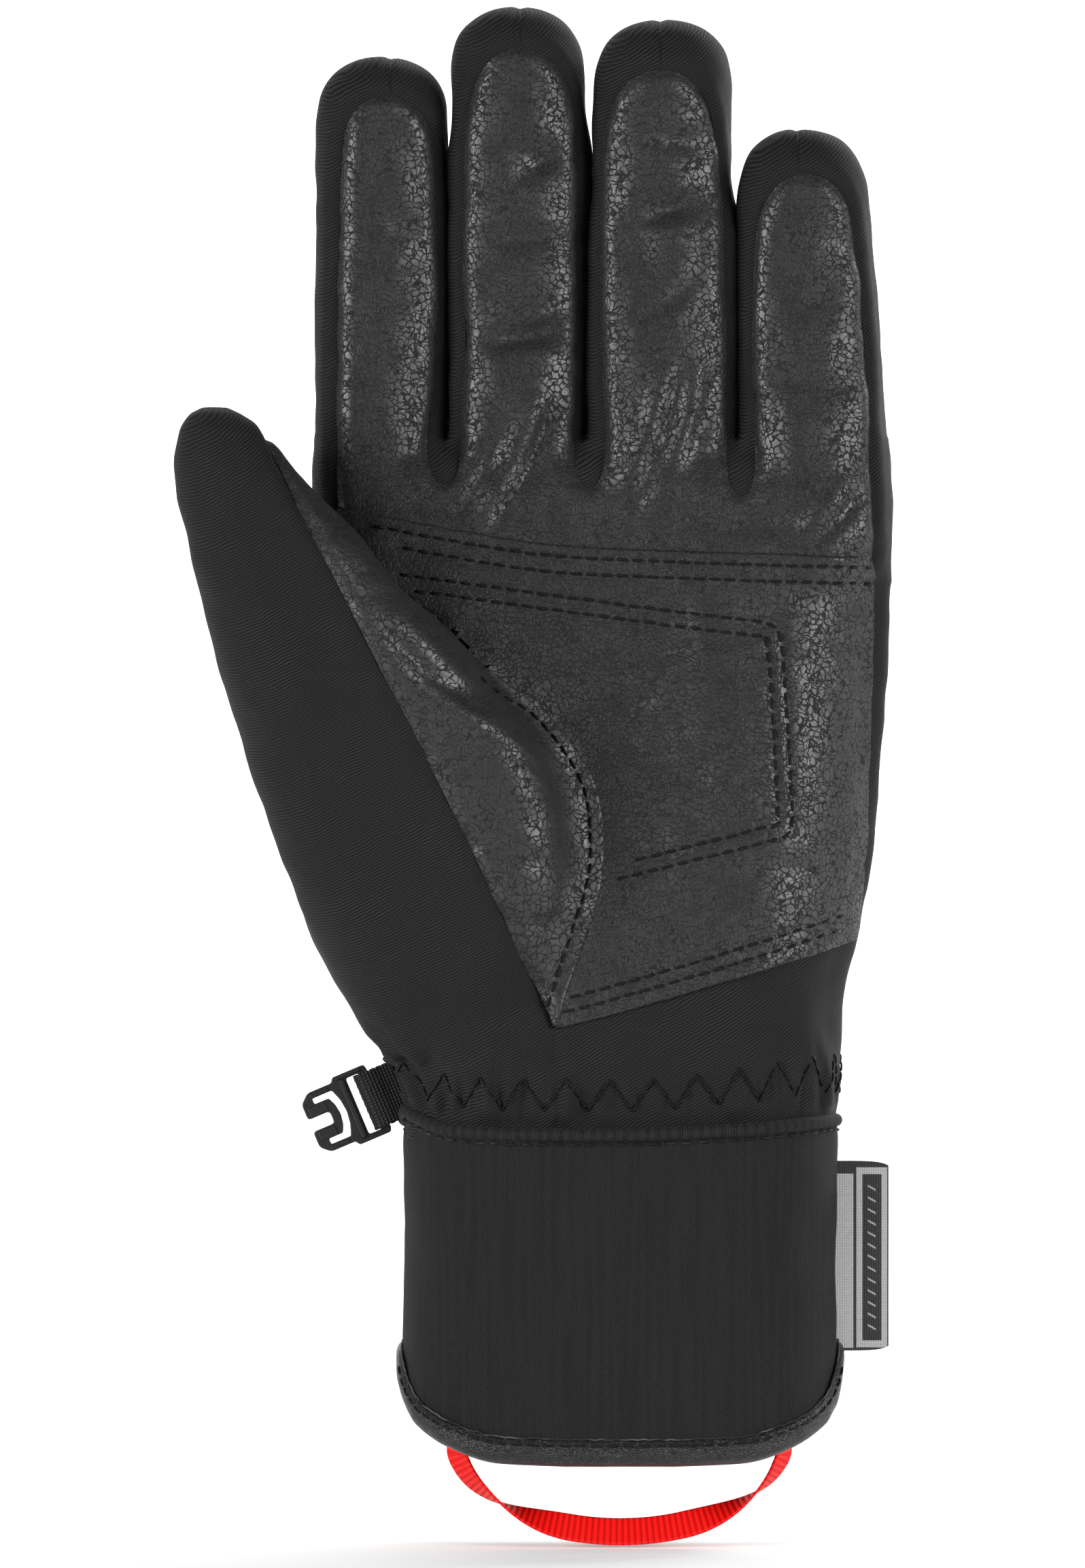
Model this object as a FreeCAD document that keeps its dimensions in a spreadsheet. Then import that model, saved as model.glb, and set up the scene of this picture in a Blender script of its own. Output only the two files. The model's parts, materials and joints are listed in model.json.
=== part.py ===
import FreeCAD, Part
import math
import os
import Sketcher

# A padded five-finger ski glove for the left hand, seen from its palm side.
# Frame: +Z runs from the cuff mouth to the fingertips, the palm faces -Y, the thumb is at -X.
# The origin is the centre of the cuff mouth, at the lowest point of the hem.
# All lengths are in millimetres and all angles in degrees.
#
# The glove is worked out from nested "forms": the outer form, and the same form drawn in by the
# thickness of each layer. A layer is one form less the next, and its panels are cut from it.

doc = FreeCAD.newDocument("ski_glove")
sheet = doc.addObject("Spreadsheet::Sheet", "Sizes")
used_rows = [0]


def put(values):
    """Write driving dimensions to the sheet: one row each, with the name as the cell's alias."""
    for alias, number in values.items():
        used_rows[0] += 1
        cell = "B%d" % used_rows[0]
        sheet.set("A%d" % used_rows[0], alias)
        sheet.set(cell, str(number))
        sheet.setAlias(cell, alias)
    sheet.recompute()


def value(expression):
    """The number that an expression in sheet cells works out to."""
    return float(sheet.evalExpression(expression))


# ---- driving dimensions ------------------------------------------------------------------

put({
    # layers, from the outside in
    "shell": 1.6, "membrane": 0.5, "insulation": 2.5, "lining": 1.0,
    "patch": 1.0, "finger_lining": 2.7,
    # fold lines of the fingers: how far apart two moving pieces are, and where they fold
    "fold_gap": 1.2, "knuckle_level": 191.0, "fold_line": -6.5,
    "knuckle_fold": 31.5, "middle_fold": 37.5, "fold_reach": 30.0,
    "finger_leather_half": 10.0, "finger_round": 9.5, "leather_stop": 8.0,
    # thumb
    "thumb_joint_x": -62.0, "thumb_joint_y": -33.0, "thumb_joint_z": 165.0,
    "thumb_tilt": -29.0, "thumb_fold": 21.5, "thumb_dome": 11.5,
    # cuff
    "neoprene": 3.0, "cuff_lining": 1.5,
    "binding": 1.3, "binding_band": 5.0, "hem_half": 43.5, "hem_corner": 20.0,
    "welt": 1.2, "welt_low": 61.6, "welt_high": 65.4,
    "elastic_low": 66.0, "elastic_high": 79.0,
    "panel_reach": 70.0,
    # pull loop: how high and how far forward it hangs, and its ribbon
    "loop_level": 3.5, "loop_plane": -9.0, "loop_thick": 1.2, "loop_band": 4.6,
    "loop_radius": 33.5, "loop_drop": 15.4,
    # side label
    "label_x": 41.9, "label_low": 20.7, "label_tall": 36.0, "label_wide": 9.0, "label_thick": 0.9,
    "label_slant": 0.6,
    # clip: the place of its bar, its lean, and the sizes of the webbing and the hook
    "clip_x": -46.5, "clip_y": 0.0, "clip_z": 68.4, "clip_tilt": -23.0,
    "bar_radius": 0.8, "bar_gap": 0.35, "webbing_layer": 0.8,
    "webbing_wide": 11.0, "webbing_thick": 2.4, "webbing_long": 8.0,
    "hook_thick": 2.2, "hook_half": 6.9, "hook_waist": 6.0, "hook_end": 0.7, "hook_long": 13.2,
    "hook_window": 5.8, "window_long": 3.6, "shoulder": 6.0, "notch_half": 1.2, "notch_deep": 4.4,
    "snap_inner": 3.6, "snap_outer": 4.6, "snap_start": 5.6, "snap_wide": 1.2, "snap_end": 10.9,
    "snap_bow": 1.1, "tip_bevel": 1.8,
})

# Stations of each form: height, left, right, front, back and corner radius of a rounded
# rectangle. Stations marked with + move down as the form is drawn in, and those marked with *
# also shrink towards their middle, which rounds off a closed tip.
HAND = {
    "wrist": (66.0, -41.0, 41.0, -22.0, 22.0, 19.0),
    "heel": (78.0, -44.0, 41.4, -22.0, 22.0, 19.5),
    "thenar": (91.0, -53.5, 43.0, -21.8, 21.5, 19.5),
    "low_palm": (110.0, -57.0, 47.2, -21.5, 21.5, 19.0),
    "palm": (140.0, -57.6, 49.6, -21.0, 21.0, 18.0),
    "upper_palm": (168.0, -57.6, 51.0, -18.0, 18.0, 16.0),
    "crotch+": (185.6, -57.6, 50.6, -13.6, 14.0, 13.0),
    "roof+": (190.4, -57.6, 50.2, -6.5, 13.5, 9.8),
}
THUMB = {
    "heel": (83.0, -49.0, -12.0, -25.5, 0.0, 12.0),
    "base": (100.0, -58.0, -7.0, -32.0, 3.0, 15.0),
    "thenar": (114.0, -63.5, -4.0, -35.0, 3.0, 16.0),
    "middle": (130.0, -69.5, -6.0, -37.5, 1.0, 16.0),
    "web": (147.0, -74.8, -22.4, -39.3, -5.0, 15.0),
    "joint": (167.0, -79.5, -43.0, -40.3, -14.3, 12.5),
    "pad": (186.0, -83.5, -60.5, -40.5, -17.5, 11.2),
    "crown*": (193.6, -82.6, -66.6, -38.4, -20.0, 7.8),
    "cap*": (197.2, -80.6, -70.8, -35.0, -23.6, 4.8),
    "tip*": (198.4, -78.6, -73.4, -31.8, -26.8, 2.4),
}
CUFF = {
    "hem": (-2.0, -41.0, 41.0, -24.0, 24.0, 22.5),
    "seam": (65.6, -41.0, 41.0, -24.0, 24.0, 22.5),
}
DIMENSIONS = ("level", "left", "right", "front", "back", "corner")

# Each finger: middle line, lean towards the thumb, radius at the knuckle and near the tip, and
# the levels of its middle joint and its tip.
FINGERS = {
    "index": (-45.0, 0.0, 12.55, 12.2, 222.0, 265.7),
    "middle": (-19.3, 0.0, 12.65, 12.3, 227.0, 275.3),
    "ring": (8.1, 0.0, 13.3, 12.6, 226.0, 273.0),
    "little": (36.9, 2.4, 13.2, 11.4, 218.0, 252.2),
}
for finger, sizes in FINGERS.items():
    names = ("x", "lean", "radius", "tip_radius", "joint", "tip")
    put({finger + "_" + name: size for name, size in zip(names, sizes)})


# ---- helpers: sketches, bodies and booleans -----------------------------------------------

def new_body(name):
    body = doc.addObject("PartDesign::Body", name)
    return body


def new_sketch(body, plane, name, lift=None):
    """A sketch on one of the body's own origin planes, lifted by a sheet expression."""
    sketch = body.newObject("Sketcher::SketchObject", name)
    support = [item for item in body.Origin.OriginFeatures if item.Role == plane][0]
    sketch.AttachmentSupport = [(support, "")]
    sketch.MapMode = "FlatFace"
    if lift is not None:
        sketch.setExpression("AttachmentOffset.Base.z", lift)
    return sketch


def pin(sketch, kind, *args):
    """A driving constraint bound to a sheet expression, which is the last argument."""
    index = sketch.addConstraint(Sketcher.Constraint(kind, *args[:-1], value(args[-1])))
    sketch.setExpression("Constraints[%d]" % index, args[-1])


def draw_polygon(sketch, corners):
    """A closed polygon whose corners are pairs of sheet expressions."""
    points = [FreeCAD.Vector(value(x), value(y), 0) for x, y in corners]
    count = len(points)
    first = sketch.GeometryCount
    for i in range(count):
        sketch.addGeometry(Part.LineSegment(points[i], points[(i + 1) % count]))
    for i in range(count):
        follower = first + (i + 1) % count
        sketch.addConstraint(Sketcher.Constraint("Coincident", first + i, 2, follower, 1))
    for i, (x, y) in enumerate(corners):
        pin(sketch, "DistanceX", -1, 1, first + i, 1, x)
        pin(sketch, "DistanceY", -1, 1, first + i, 1, y)


def draw_circle(sketch, x, radius):
    """A circle centred on the sketch's horizontal axis."""
    circle = Part.Circle(FreeCAD.Vector(value(x), 0, 0), FreeCAD.Vector(0, 0, 1), value(radius))
    index = sketch.addGeometry(circle)
    sketch.addConstraint(Sketcher.Constraint("PointOnObject", index, 3, -1))
    pin(sketch, "DistanceX", -1, 1, index, 3, x)
    pin(sketch, "Radius", index, radius)


def draw_band(sketch, middle, outer, inner):
    """A band between two arcs about one centre on the vertical axis, ending on the horizontal
    axis below it."""
    centre = FreeCAD.Vector(0, value(middle), 0)
    ends = []
    for radius in (outer, inner):
        reach = value(radius)
        turn = math.asin(centre.y / reach)
        circle = Part.Circle(centre, FreeCAD.Vector(0, 0, 1), reach)
        index = sketch.addGeometry(Part.ArcOfCircle(circle, math.pi + turn, 2 * math.pi - turn))
        pin(sketch, "Radius", index, radius)
        pin(sketch, "DistanceY", -1, 1, index, 3, middle)
        sketch.addConstraint(Sketcher.Constraint("PointOnObject", index, 3, -2))
        sketch.addConstraint(Sketcher.Constraint("PointOnObject", index, 1, -1))
        sketch.addConstraint(Sketcher.Constraint("PointOnObject", index, 2, -1))
        ends.append(index)
    for point in (1, 2):
        start = sketch.getPoint(ends[0], point)
        line = sketch.addGeometry(Part.LineSegment(start, sketch.getPoint(ends[1], point)))
        sketch.addConstraint(Sketcher.Constraint("Coincident", line, 1, ends[0], point))
        sketch.addConstraint(Sketcher.Constraint("Coincident", line, 2, ends[1], point))


def draw_rounded_box(sketch, left, right, front, back, corner):
    """A rounded rectangle whose sides and corner radius are sheet expressions."""
    low = FreeCAD.Vector(value(left), value(front), 0)
    high = FreeCAD.Vector(value(right), value(back), 0)
    radius = value(corner)
    quarter = math.pi / 2
    middles = [(high.x - radius, high.y - radius), (low.x + radius, high.y - radius),
               (low.x + radius, low.y + radius), (high.x - radius, low.y + radius)]
    for i, (x, y) in enumerate(middles):
        circle = Part.Circle(FreeCAD.Vector(x, y, 0), FreeCAD.Vector(0, 0, 1), radius)
        sketch.addGeometry(Part.ArcOfCircle(circle, i * quarter, (i + 1) * quarter))
    for i in range(4):
        start = sketch.Geometry[i].EndPoint
        end = sketch.Geometry[(i + 1) % 4].StartPoint
        sketch.addGeometry(Part.LineSegment(start, end))
    for i in range(4):
        sketch.addConstraint(Sketcher.Constraint("Tangent", i, 2, 4 + i, 1))
        sketch.addConstraint(Sketcher.Constraint("Tangent", 4 + i, 2, (i + 1) % 4, 1))
        sketch.addConstraint(Sketcher.Constraint("Horizontal" if i % 2 == 0 else "Vertical", 4 + i))
    for i in range(1, 4):
        sketch.addConstraint(Sketcher.Constraint("Equal", 0, i))
    pin(sketch, "Radius", 0, corner)
    pin(sketch, "DistanceY", -1, 1, 4, 1, back)
    pin(sketch, "DistanceX", -1, 1, 5, 1, left)
    pin(sketch, "DistanceY", -1, 1, 6, 1, front)
    pin(sketch, "DistanceX", -1, 1, 7, 1, right)


def place(thing, x="0", y="0", z="0", turn=None):
    """Bind a body's place to the sheet, with an optional turn about Y."""
    if turn is not None:
        thing.Placement = FreeCAD.Placement(FreeCAD.Vector(), FreeCAD.Rotation(FreeCAD.Vector(0, 1, 0), 1))
        thing.setExpression("Placement.Rotation.Angle", turn)
    for axis, expression in zip("xyz", (x, y, z)):
        thing.setExpression("Placement.Base." + axis, expression)


def pad(body, sketch, length, middle=False, flip=False):
    feature = body.newObject("PartDesign::Pad", sketch.Name + "_pad")
    feature.Profile = sketch
    feature.setExpression("Length", length)
    feature.Midplane = middle
    feature.Reversed = flip
    return feature


def pocket_through(body, sketch):
    feature = body.newObject("PartDesign::Pocket", sketch.Name + "_pocket")
    feature.Profile = sketch
    feature.Type = "ThroughAll"
    feature.Midplane = True
    return feature


def cut(name, base, tool):
    result = doc.addObject("Part::Cut", name)
    result.Base = base
    result.Tool = tool
    return result


def common(name, base, tool):
    result = doc.addObject("Part::Common", name)
    result.Base = base
    result.Tool = tool
    return result


def fuse(name, *things):
    result = doc.addObject("Part::MultiFuse", name)
    result.Shapes = list(things)
    return result


# ---- forms ----------------------------------------------------------------------------------

def put_stations(form, stations):
    for station, sizes in stations.items():
        key = form + "_" + station.strip("+*") + "_"
        put({key + name: size for name, size in zip(DIMENSIONS, sizes)})


def lofted_form(form, stations, name, inset):
    """The form drawn in by an expression in sheet cells; a negative inset makes it larger."""
    body = new_body(name)
    sections = []
    for station in stations:
        cell = "Sizes." + form + "_" + station.strip("+*") + "_"
        level, left, right, front, back, corner = [cell + item for item in DIMENSIONS]
        if station[-1] in "+*":
            level = "%s - (%s)" % (level, inset)
        if station[-1] == "*":
            shrink = "(%s) / Sizes.%s_dome" % (inset, form)
            half_x = "(%s - %s) / 2 * %s" % (right, left, shrink)
            half_y = "(%s - %s) / 2 * %s" % (back, front, shrink)
            sides = (left + " + " + half_x, right + " - " + half_x,
                     front + " + " + half_y, back + " - " + half_y,
                     "%s * (1 - %s)" % (corner, shrink))
        else:
            sides = tuple("%s %s (%s)" % (side, sign, inset) for side, sign in
                          ((left, "+"), (right, "-"), (front, "+"), (back, "-"), (corner, "-")))
        sketch = new_sketch(body, "XY_Plane", name + "_" + station.strip("+*"), level)
        draw_rounded_box(sketch, *sides)
        sections.append(sketch)
    loft = body.newObject("PartDesign::AdditiveLoft", name + "_loft")
    loft.Profile = sections[0]
    loft.Sections = sections[1:]
    loft.Ruled = True
    return body


def finger_form(finger, name, inset):
    """A tapered round finger with a blunt rounded tip, standing on its knuckle."""
    cell = "Sizes." + finger + "_"
    top = "%stip - Sizes.knuckle_level - (%s)" % (cell, inset)
    body = new_body(name)
    sketch = new_sketch(body, "XZ_Plane", name + "_profile")
    draw_polygon(sketch, [("0", "-Sizes.fold_reach / 2"),
                          ("%sradius - (%s)" % (cell, inset), "-Sizes.fold_reach / 2"),
                          ("%stip_radius - (%s)" % (cell, inset), top),
                          ("0", top)])
    turned = body.newObject("PartDesign::Revolution", name + "_turned")
    turned.Profile = sketch
    turned.ReferenceAxis = (sketch, ["V_Axis"])
    turned.Angle = 360
    doc.recompute()
    height = value(top)
    rim = ["Edge%d" % (i + 1) for i, edge in enumerate(turned.Shape.Edges)
           if edge.isClosed() and abs(edge.BoundBox.ZMin - height) < 0.01
           and abs(edge.BoundBox.ZMax - height) < 0.01]
    rounded = body.newObject("PartDesign::Fillet", name + "_round")
    rounded.Base = (turned, rim)
    rounded.setExpression("Radius", "Sizes.finger_round - (%s)" % inset)
    place(body, cell + "x", "0", "Sizes.knuckle_level", "-%slean" % cell)
    return body


def side_prism(name, corners, width="2 * Sizes.fold_reach"):
    """A prism across a finger, from corners given as (y, z)."""
    body = new_body(name)
    sketch = new_sketch(body, "YZ_Plane", name + "_outline")
    draw_polygon(sketch, corners)
    pad(body, sketch, width, middle=True)
    return body


def front_prism(name, corners, length="Sizes.panel_reach", through=False):
    """A prism from the middle plane to the palm side, or right through, from corners (x, z)."""
    body = new_body(name)
    cells = {}
    for i, (x, z) in enumerate(corners):
        cells["%s_x%d" % (name, i)] = x
        cells["%s_z%d" % (name, i)] = z
    put(cells)
    sketch = new_sketch(body, "XZ_Plane", name + "_outline")
    draw_polygon(sketch, [("Sizes.%s_x%d" % (name, i), "Sizes.%s_z%d" % (name, i))
                          for i in range(len(corners))])
    pad(body, sketch, length, middle=through)
    return body


def fold_zone(name, low, high, low_fold=None, high_fold=None, line="Sizes.fold_line"):
    """The space between two fold lines. On its palm side it slopes back from each fold line, so
    that the pieces on both sides of the line can fold towards each other."""
    reach = "Sizes.fold_reach"
    lower = "(%s) + Sizes.fold_gap / 2" % low
    upper = "(%s) - Sizes.fold_gap / 2" % high
    corners = [(reach, lower)]
    if low_fold:
        slope = "(%s + %s) * tan(%s * 1 deg)" % (reach, line, low_fold)
        corners += [(line, lower), ("-" + reach, lower + " + " + slope)]
    else:
        corners += [("-" + reach, lower)]
    if high_fold:
        slope = "(%s + %s) * tan(%s * 1 deg)" % (reach, line, high_fold)
        corners += [("-" + reach, upper + " - " + slope), (line, upper)]
    else:
        corners += [("-" + reach, upper)]
    corners += [(reach, upper)]
    return side_prism(name, corners)


put_stations("hand", HAND)
put_stations("thumb", THUMB)
put_stations("cuff", CUFF)

LAYERS = ("-Sizes.patch", "0", "Sizes.shell", "Sizes.shell + Sizes.membrane",
          "Sizes.shell + Sizes.membrane + Sizes.insulation",
          "Sizes.shell + Sizes.membrane + Sizes.insulation + Sizes.lining")
PATCH, OUTER, UNDER_SHELL, UNDER_MEMBRANE, UNDER_INSULATION, CAVITY = range(6)
hand = [lofted_form("hand", HAND, "hand_form_%d" % i, inset) for i, inset in enumerate(LAYERS)]
thumb = [lofted_form("thumb", THUMB, "thumb_form_%d" % i, inset) for i, inset in enumerate(LAYERS)]
pieces = {}

# ---- fingers ----------------------------------------------------------------------------------

holes = []
for finger in FINGERS:
    cell = "Sizes." + finger + "_"
    joint = "%sjoint - Sizes.knuckle_level" % cell
    tip = "%stip - Sizes.knuckle_level" % cell
    outer = finger_form(finger, finger + "_outer", "0")
    under = finger_form(finger, finger + "_under", "Sizes.shell")
    hollow = finger_form(finger, finger + "_hollow", "Sizes.shell + Sizes.finger_lining")
    shell = cut(finger + "_shell", outer, under)
    soft = cut(finger + "_soft", under, hollow)
    base_zone = fold_zone(finger + "_base_zone", "0", joint, "Sizes.knuckle_fold", "Sizes.middle_fold")
    tip_zone = fold_zone(finger + "_tip_zone", joint, tip + " + 5", "Sizes.middle_fold")
    leather_zone = side_prism(finger + "_leather_zone", [
        ("-Sizes.fold_reach", "-Sizes.fold_reach / 2"), ("0", "-Sizes.fold_reach / 2"),
        ("0", tip + " - Sizes.leather_stop"), ("-Sizes.fold_reach", tip + " - Sizes.leather_stop")],
        "2 * Sizes.finger_leather_half")
    for zone in (base_zone, tip_zone, leather_zone):
        place(zone, cell + "x", "0", "Sizes.knuckle_level", "-%slean" % cell)
    leather = common(finger + "_leather", shell, leather_zone)
    softshell = cut(finger + "_softshell", shell, leather_zone)
    for part, zone in (("base", base_zone), ("tip", tip_zone)):
        for layer, whole in (("leather", leather), ("softshell", softshell), ("lining", soft)):
            node = "%s_%s_%s" % (finger, part, layer)
            pieces[node] = common(node, whole, zone)
    hole = doc.addObject("Part::Cylinder", finger + "_hole")
    hole.setExpression("Radius", cell + "radius - Sizes.shell - Sizes.finger_lining")
    hole.setExpression("Height", "Sizes.fold_reach")
    place(hole, cell + "x", "0", "Sizes.knuckle_level - Sizes.fold_reach / 2", "-%slean" % cell)
    holes.append(hole)
finger_holes = fuse("finger_holes", *holes)

# ---- thumb and hand ---------------------------------------------------------------------------

thumb_base_zone = fold_zone("thumb_base_zone", "-4 * Sizes.fold_reach", "0", None, "Sizes.thumb_fold", "0")
thumb_tip_zone = fold_zone("thumb_tip_zone", "0", "2 * Sizes.fold_reach", "Sizes.thumb_fold", None, "0")
for zone in (thumb_base_zone, thumb_tip_zone):
    place(zone, "Sizes.thumb_joint_x", "Sizes.thumb_joint_y", "Sizes.thumb_joint_z", "Sizes.thumb_tilt")
    zone.Tip.setExpression("Length", "4 * Sizes.fold_reach")

thumb_leather_zone = front_prism("thumb_leather_zone", [
    (-65.2, 190.8), (-54.9, 169.4), (-41.6, 142.9), (-28.3, 116.3), (-21.0, 100.0), (-12.8, 82.4),
    (20.0, 82.4), (20.0, 190.8)], "2 * Sizes.panel_reach", through=True)


def layer(name, level):
    """One whole layer of the hand and the thumb's lower half, open to the fingers and the thumb."""
    stump = common(name + "_stump", thumb[level], thumb_base_zone)
    solid = fuse(name + "_solid", hand[level], stump)
    room = fuse(name + "_room", hand[level + 1], thumb[level + 1], finger_holes)
    return cut(name, solid, room)


thumb_stump = common("thumb_stump", thumb[OUTER], thumb_base_zone)
under_shell = fuse("under_shell", hand[UNDER_SHELL], thumb[UNDER_SHELL], finger_holes)
hand_shell = cut("hand_shell", hand[OUTER], under_shell)
thumb_cover = cut("thumb_cover", thumb_stump, fuse("thumb_room", hand[OUTER], thumb[UNDER_SHELL]))
pieces["thumb_leather_base"] = common("thumb_leather_base", thumb_cover, thumb_leather_zone)
pieces["thumb_softshell_base"] = cut("thumb_softshell_base", thumb_cover, thumb_leather_zone)

thumb_tip_cover = cut("thumb_tip_cover", common("thumb_end", thumb[OUTER], thumb_tip_zone),
                      thumb[UNDER_SHELL])
pieces["thumb_tip_leather"] = common("thumb_tip_leather", thumb_tip_cover, thumb_leather_zone)
pieces["thumb_tip_softshell"] = cut("thumb_tip_softshell", thumb_tip_cover, thumb_leather_zone)
thumb_soft_end = common("thumb_soft_end", thumb[UNDER_SHELL], thumb_tip_zone)
pieces["thumb_tip_lining"] = cut("thumb_tip_lining", thumb_soft_end, thumb[CAVITY])

upper_zone = front_prism("upper_zone", [
    (-53.4, 179.8), (-15.0, 173.0), (47.7, 170.6), (47.7, 200.0), (-53.4, 200.0)])
palm_zone = front_prism("palm_zone", [
    (-53.4, 179.8), (-15.0, 173.0), (47.7, 170.6), (44.7, 99.3), (-12.8, 82.4), (-53.4, 82.4)])
wrist_zone = front_prism("wrist_zone", [
    (44.7, 99.3), (-12.8, 82.4), (-53.4, 82.4), (-53.4, 60.0), (44.7, 60.0)])
patch_zone = front_prism("patch_zone", [(-42.0, 166.0), (28.5, 157.0), (31.0, 119.3), (-3.2, 111.0)])

pieces["palm_leather_upper"] = common("palm_leather_upper", hand_shell, upper_zone)
pieces["palm_leather_lower"] = common("palm_leather_lower", hand_shell, palm_zone)
pieces["wrist_softshell"] = common("wrist_softshell", hand_shell, wrist_zone)
pieces["back_softshell"] = cut("back_softshell", hand_shell,
                               fuse("palm_side", upper_zone, palm_zone, wrist_zone))
pieces["palm_grip_patch"] = cut("palm_grip_patch", common("patch_block", hand[PATCH], patch_zone),
                                fuse("patch_room", hand[OUTER], thumb[PATCH]))

pieces["hand_membrane"] = layer("hand_membrane", UNDER_SHELL)
pieces["hand_lining"] = layer("hand_lining", UNDER_INSULATION)
padding = layer("hand_padding", UNDER_MEMBRANE)
elastic_zone = side_prism("elastic_zone", [
    ("-Sizes.fold_reach", "Sizes.elastic_low"), ("Sizes.fold_reach", "Sizes.elastic_low"),
    ("Sizes.fold_reach", "Sizes.elastic_high"), ("-Sizes.fold_reach", "Sizes.elastic_high")],
    "4 * Sizes.fold_reach")
pieces["wrist_elastic"] = common("wrist_elastic", padding, elastic_zone)
pieces["hand_insulation"] = cut("hand_insulation", padding, elastic_zone)

# ---- cuff -------------------------------------------------------------------------------------

CUFF_LAYERS = {"binding": "-Sizes.binding", "outside": "0", "inside": "Sizes.neoprene",
               "mouth": "Sizes.neoprene + Sizes.cuff_lining",
               "mouth_binding": "Sizes.neoprene + Sizes.cuff_lining + Sizes.binding",
               "welt": "-Sizes.welt"}
cuff = {key: lofted_form("cuff", CUFF, "cuff_form_" + key, inset) for key, inset in CUFF_LAYERS.items()}


def hem_prism(name, lift):
    """A prism across the cuff whose lower side is the curve of the hem, lifted off the mouth."""
    body = new_body(name)
    sketch = new_sketch(body, "XZ_Plane", name + "_outline")
    draw_rounded_box(sketch, "-Sizes.hem_half", "Sizes.hem_half", lift,
                     "2 * Sizes.panel_reach", "Sizes.hem_corner")
    pad(body, sketch, "2 * Sizes.panel_reach", middle=True)
    return body


hem_edge = hem_prism("hem_edge", "0")
hem_line = hem_prism("hem_line", "Sizes.binding_band")
hem_fold = hem_prism("hem_fold", "Sizes.binding")
palm_half = front_prism("palm_half", [(-60.0, -10.0), (60.0, -10.0), (60.0, 80.0), (-60.0, 80.0)])

cuff_wall = common("cuff_wall", cut("cuff_tube", cuff["outside"], cuff["inside"]), hem_fold)
pieces["cuff_neoprene_palm"] = common("cuff_neoprene_palm", cuff_wall, palm_half)
pieces["cuff_neoprene_back"] = cut("cuff_neoprene_back", cuff_wall, palm_half)
cuff_lining_tube = cut("cuff_lining_tube", cuff["inside"], cuff["mouth"])
pieces["cuff_lining"] = common("cuff_lining", cuff_lining_tube, hem_fold)

hem_band = common("hem_band", cut("hem_tube", cuff["binding"], cuff["mouth_binding"]), hem_edge)
hem_core = common("hem_core", cut("hem_core_tube", cuff["outside"], cuff["mouth"]), hem_fold)
pieces["hem_binding"] = cut("hem_binding", hem_band, fuse("hem_room", hem_line, hem_core))

welt_zone = side_prism("welt_zone", [
    ("-Sizes.fold_reach", "Sizes.welt_low"), ("Sizes.fold_reach", "Sizes.welt_low"),
    ("Sizes.fold_reach", "Sizes.welt_high"), ("-Sizes.fold_reach", "Sizes.welt_high")],
    "4 * Sizes.fold_reach")
welt_tube = cut("welt_tube", cuff["welt"], cuff["outside"])
pieces["cuff_seam_welt"] = common("cuff_seam_welt", welt_tube, welt_zone)

# ---- pull loop: a flat ribbon hanging in a shallow U from inside the hem ------------------------

loop = new_body("pull_loop_ribbon")
ribbon = new_sketch(loop, "XZ_Plane", "loop_outline")
draw_band(ribbon, "Sizes.loop_radius - Sizes.loop_level - Sizes.loop_drop",
          "Sizes.loop_radius", "Sizes.loop_radius - Sizes.loop_band")
pad(loop, ribbon, "Sizes.loop_thick", middle=True)
place(loop, "0", "Sizes.loop_plane", "Sizes.loop_level")
pieces["pull_loop"] = loop

# ---- side label: a folded woven tab that stands out of the side seam ----------------------------

label = new_body("side_label_tab")
tab = new_sketch(label, "XZ_Plane", "label_outline")
draw_polygon(tab, [("0", "0"), ("Sizes.label_wide", "Sizes.label_slant"),
                   ("Sizes.label_wide", "Sizes.label_tall - Sizes.label_slant"),
                   ("0", "Sizes.label_tall")])
pad(label, tab, "Sizes.label_thick", middle=True)
place(label, "Sizes.label_x", "0", "Sizes.label_low")
pieces["side_label"] = label

# ---- clip: webbing sewn into the wrist seam, looped round the bar of a moulded hook -------------
# Both bodies have their origin at the middle of the bar, with their own Z along it. The hook
# points along their -X, which leans down to the left.

EYE = "Sizes.bar_radius + Sizes.bar_gap"
webbing = new_body("webbing_loop")
strap = new_sketch(webbing, "XY_Plane", "webbing_side")
draw_polygon(strap, [("Sizes.bar_radius", "-Sizes.webbing_thick / 2"),
                     ("Sizes.webbing_long", "-Sizes.webbing_thick / 2"),
                     ("Sizes.webbing_long", "Sizes.webbing_thick / 2"),
                     ("Sizes.bar_radius", "Sizes.webbing_thick / 2")])
pad(webbing, strap, "Sizes.webbing_wide", middle=True)
turn = new_sketch(webbing, "XY_Plane", "webbing_turn")
draw_circle(turn, "0", EYE + " + Sizes.webbing_layer")
pad(webbing, turn, "Sizes.webbing_wide", middle=True)
eye = new_sketch(webbing, "XY_Plane", "webbing_eye")
draw_circle(eye, "0", EYE)
pocket_through(webbing, eye)
place(webbing, "Sizes.clip_x", "Sizes.clip_y", "Sizes.clip_z", "Sizes.clip_tilt")
wrist_side = fuse("wrist_side", hand[OUTER], cuff["welt"])
pieces["clip_webbing"] = cut("clip_webbing", webbing, wrist_side)

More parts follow.
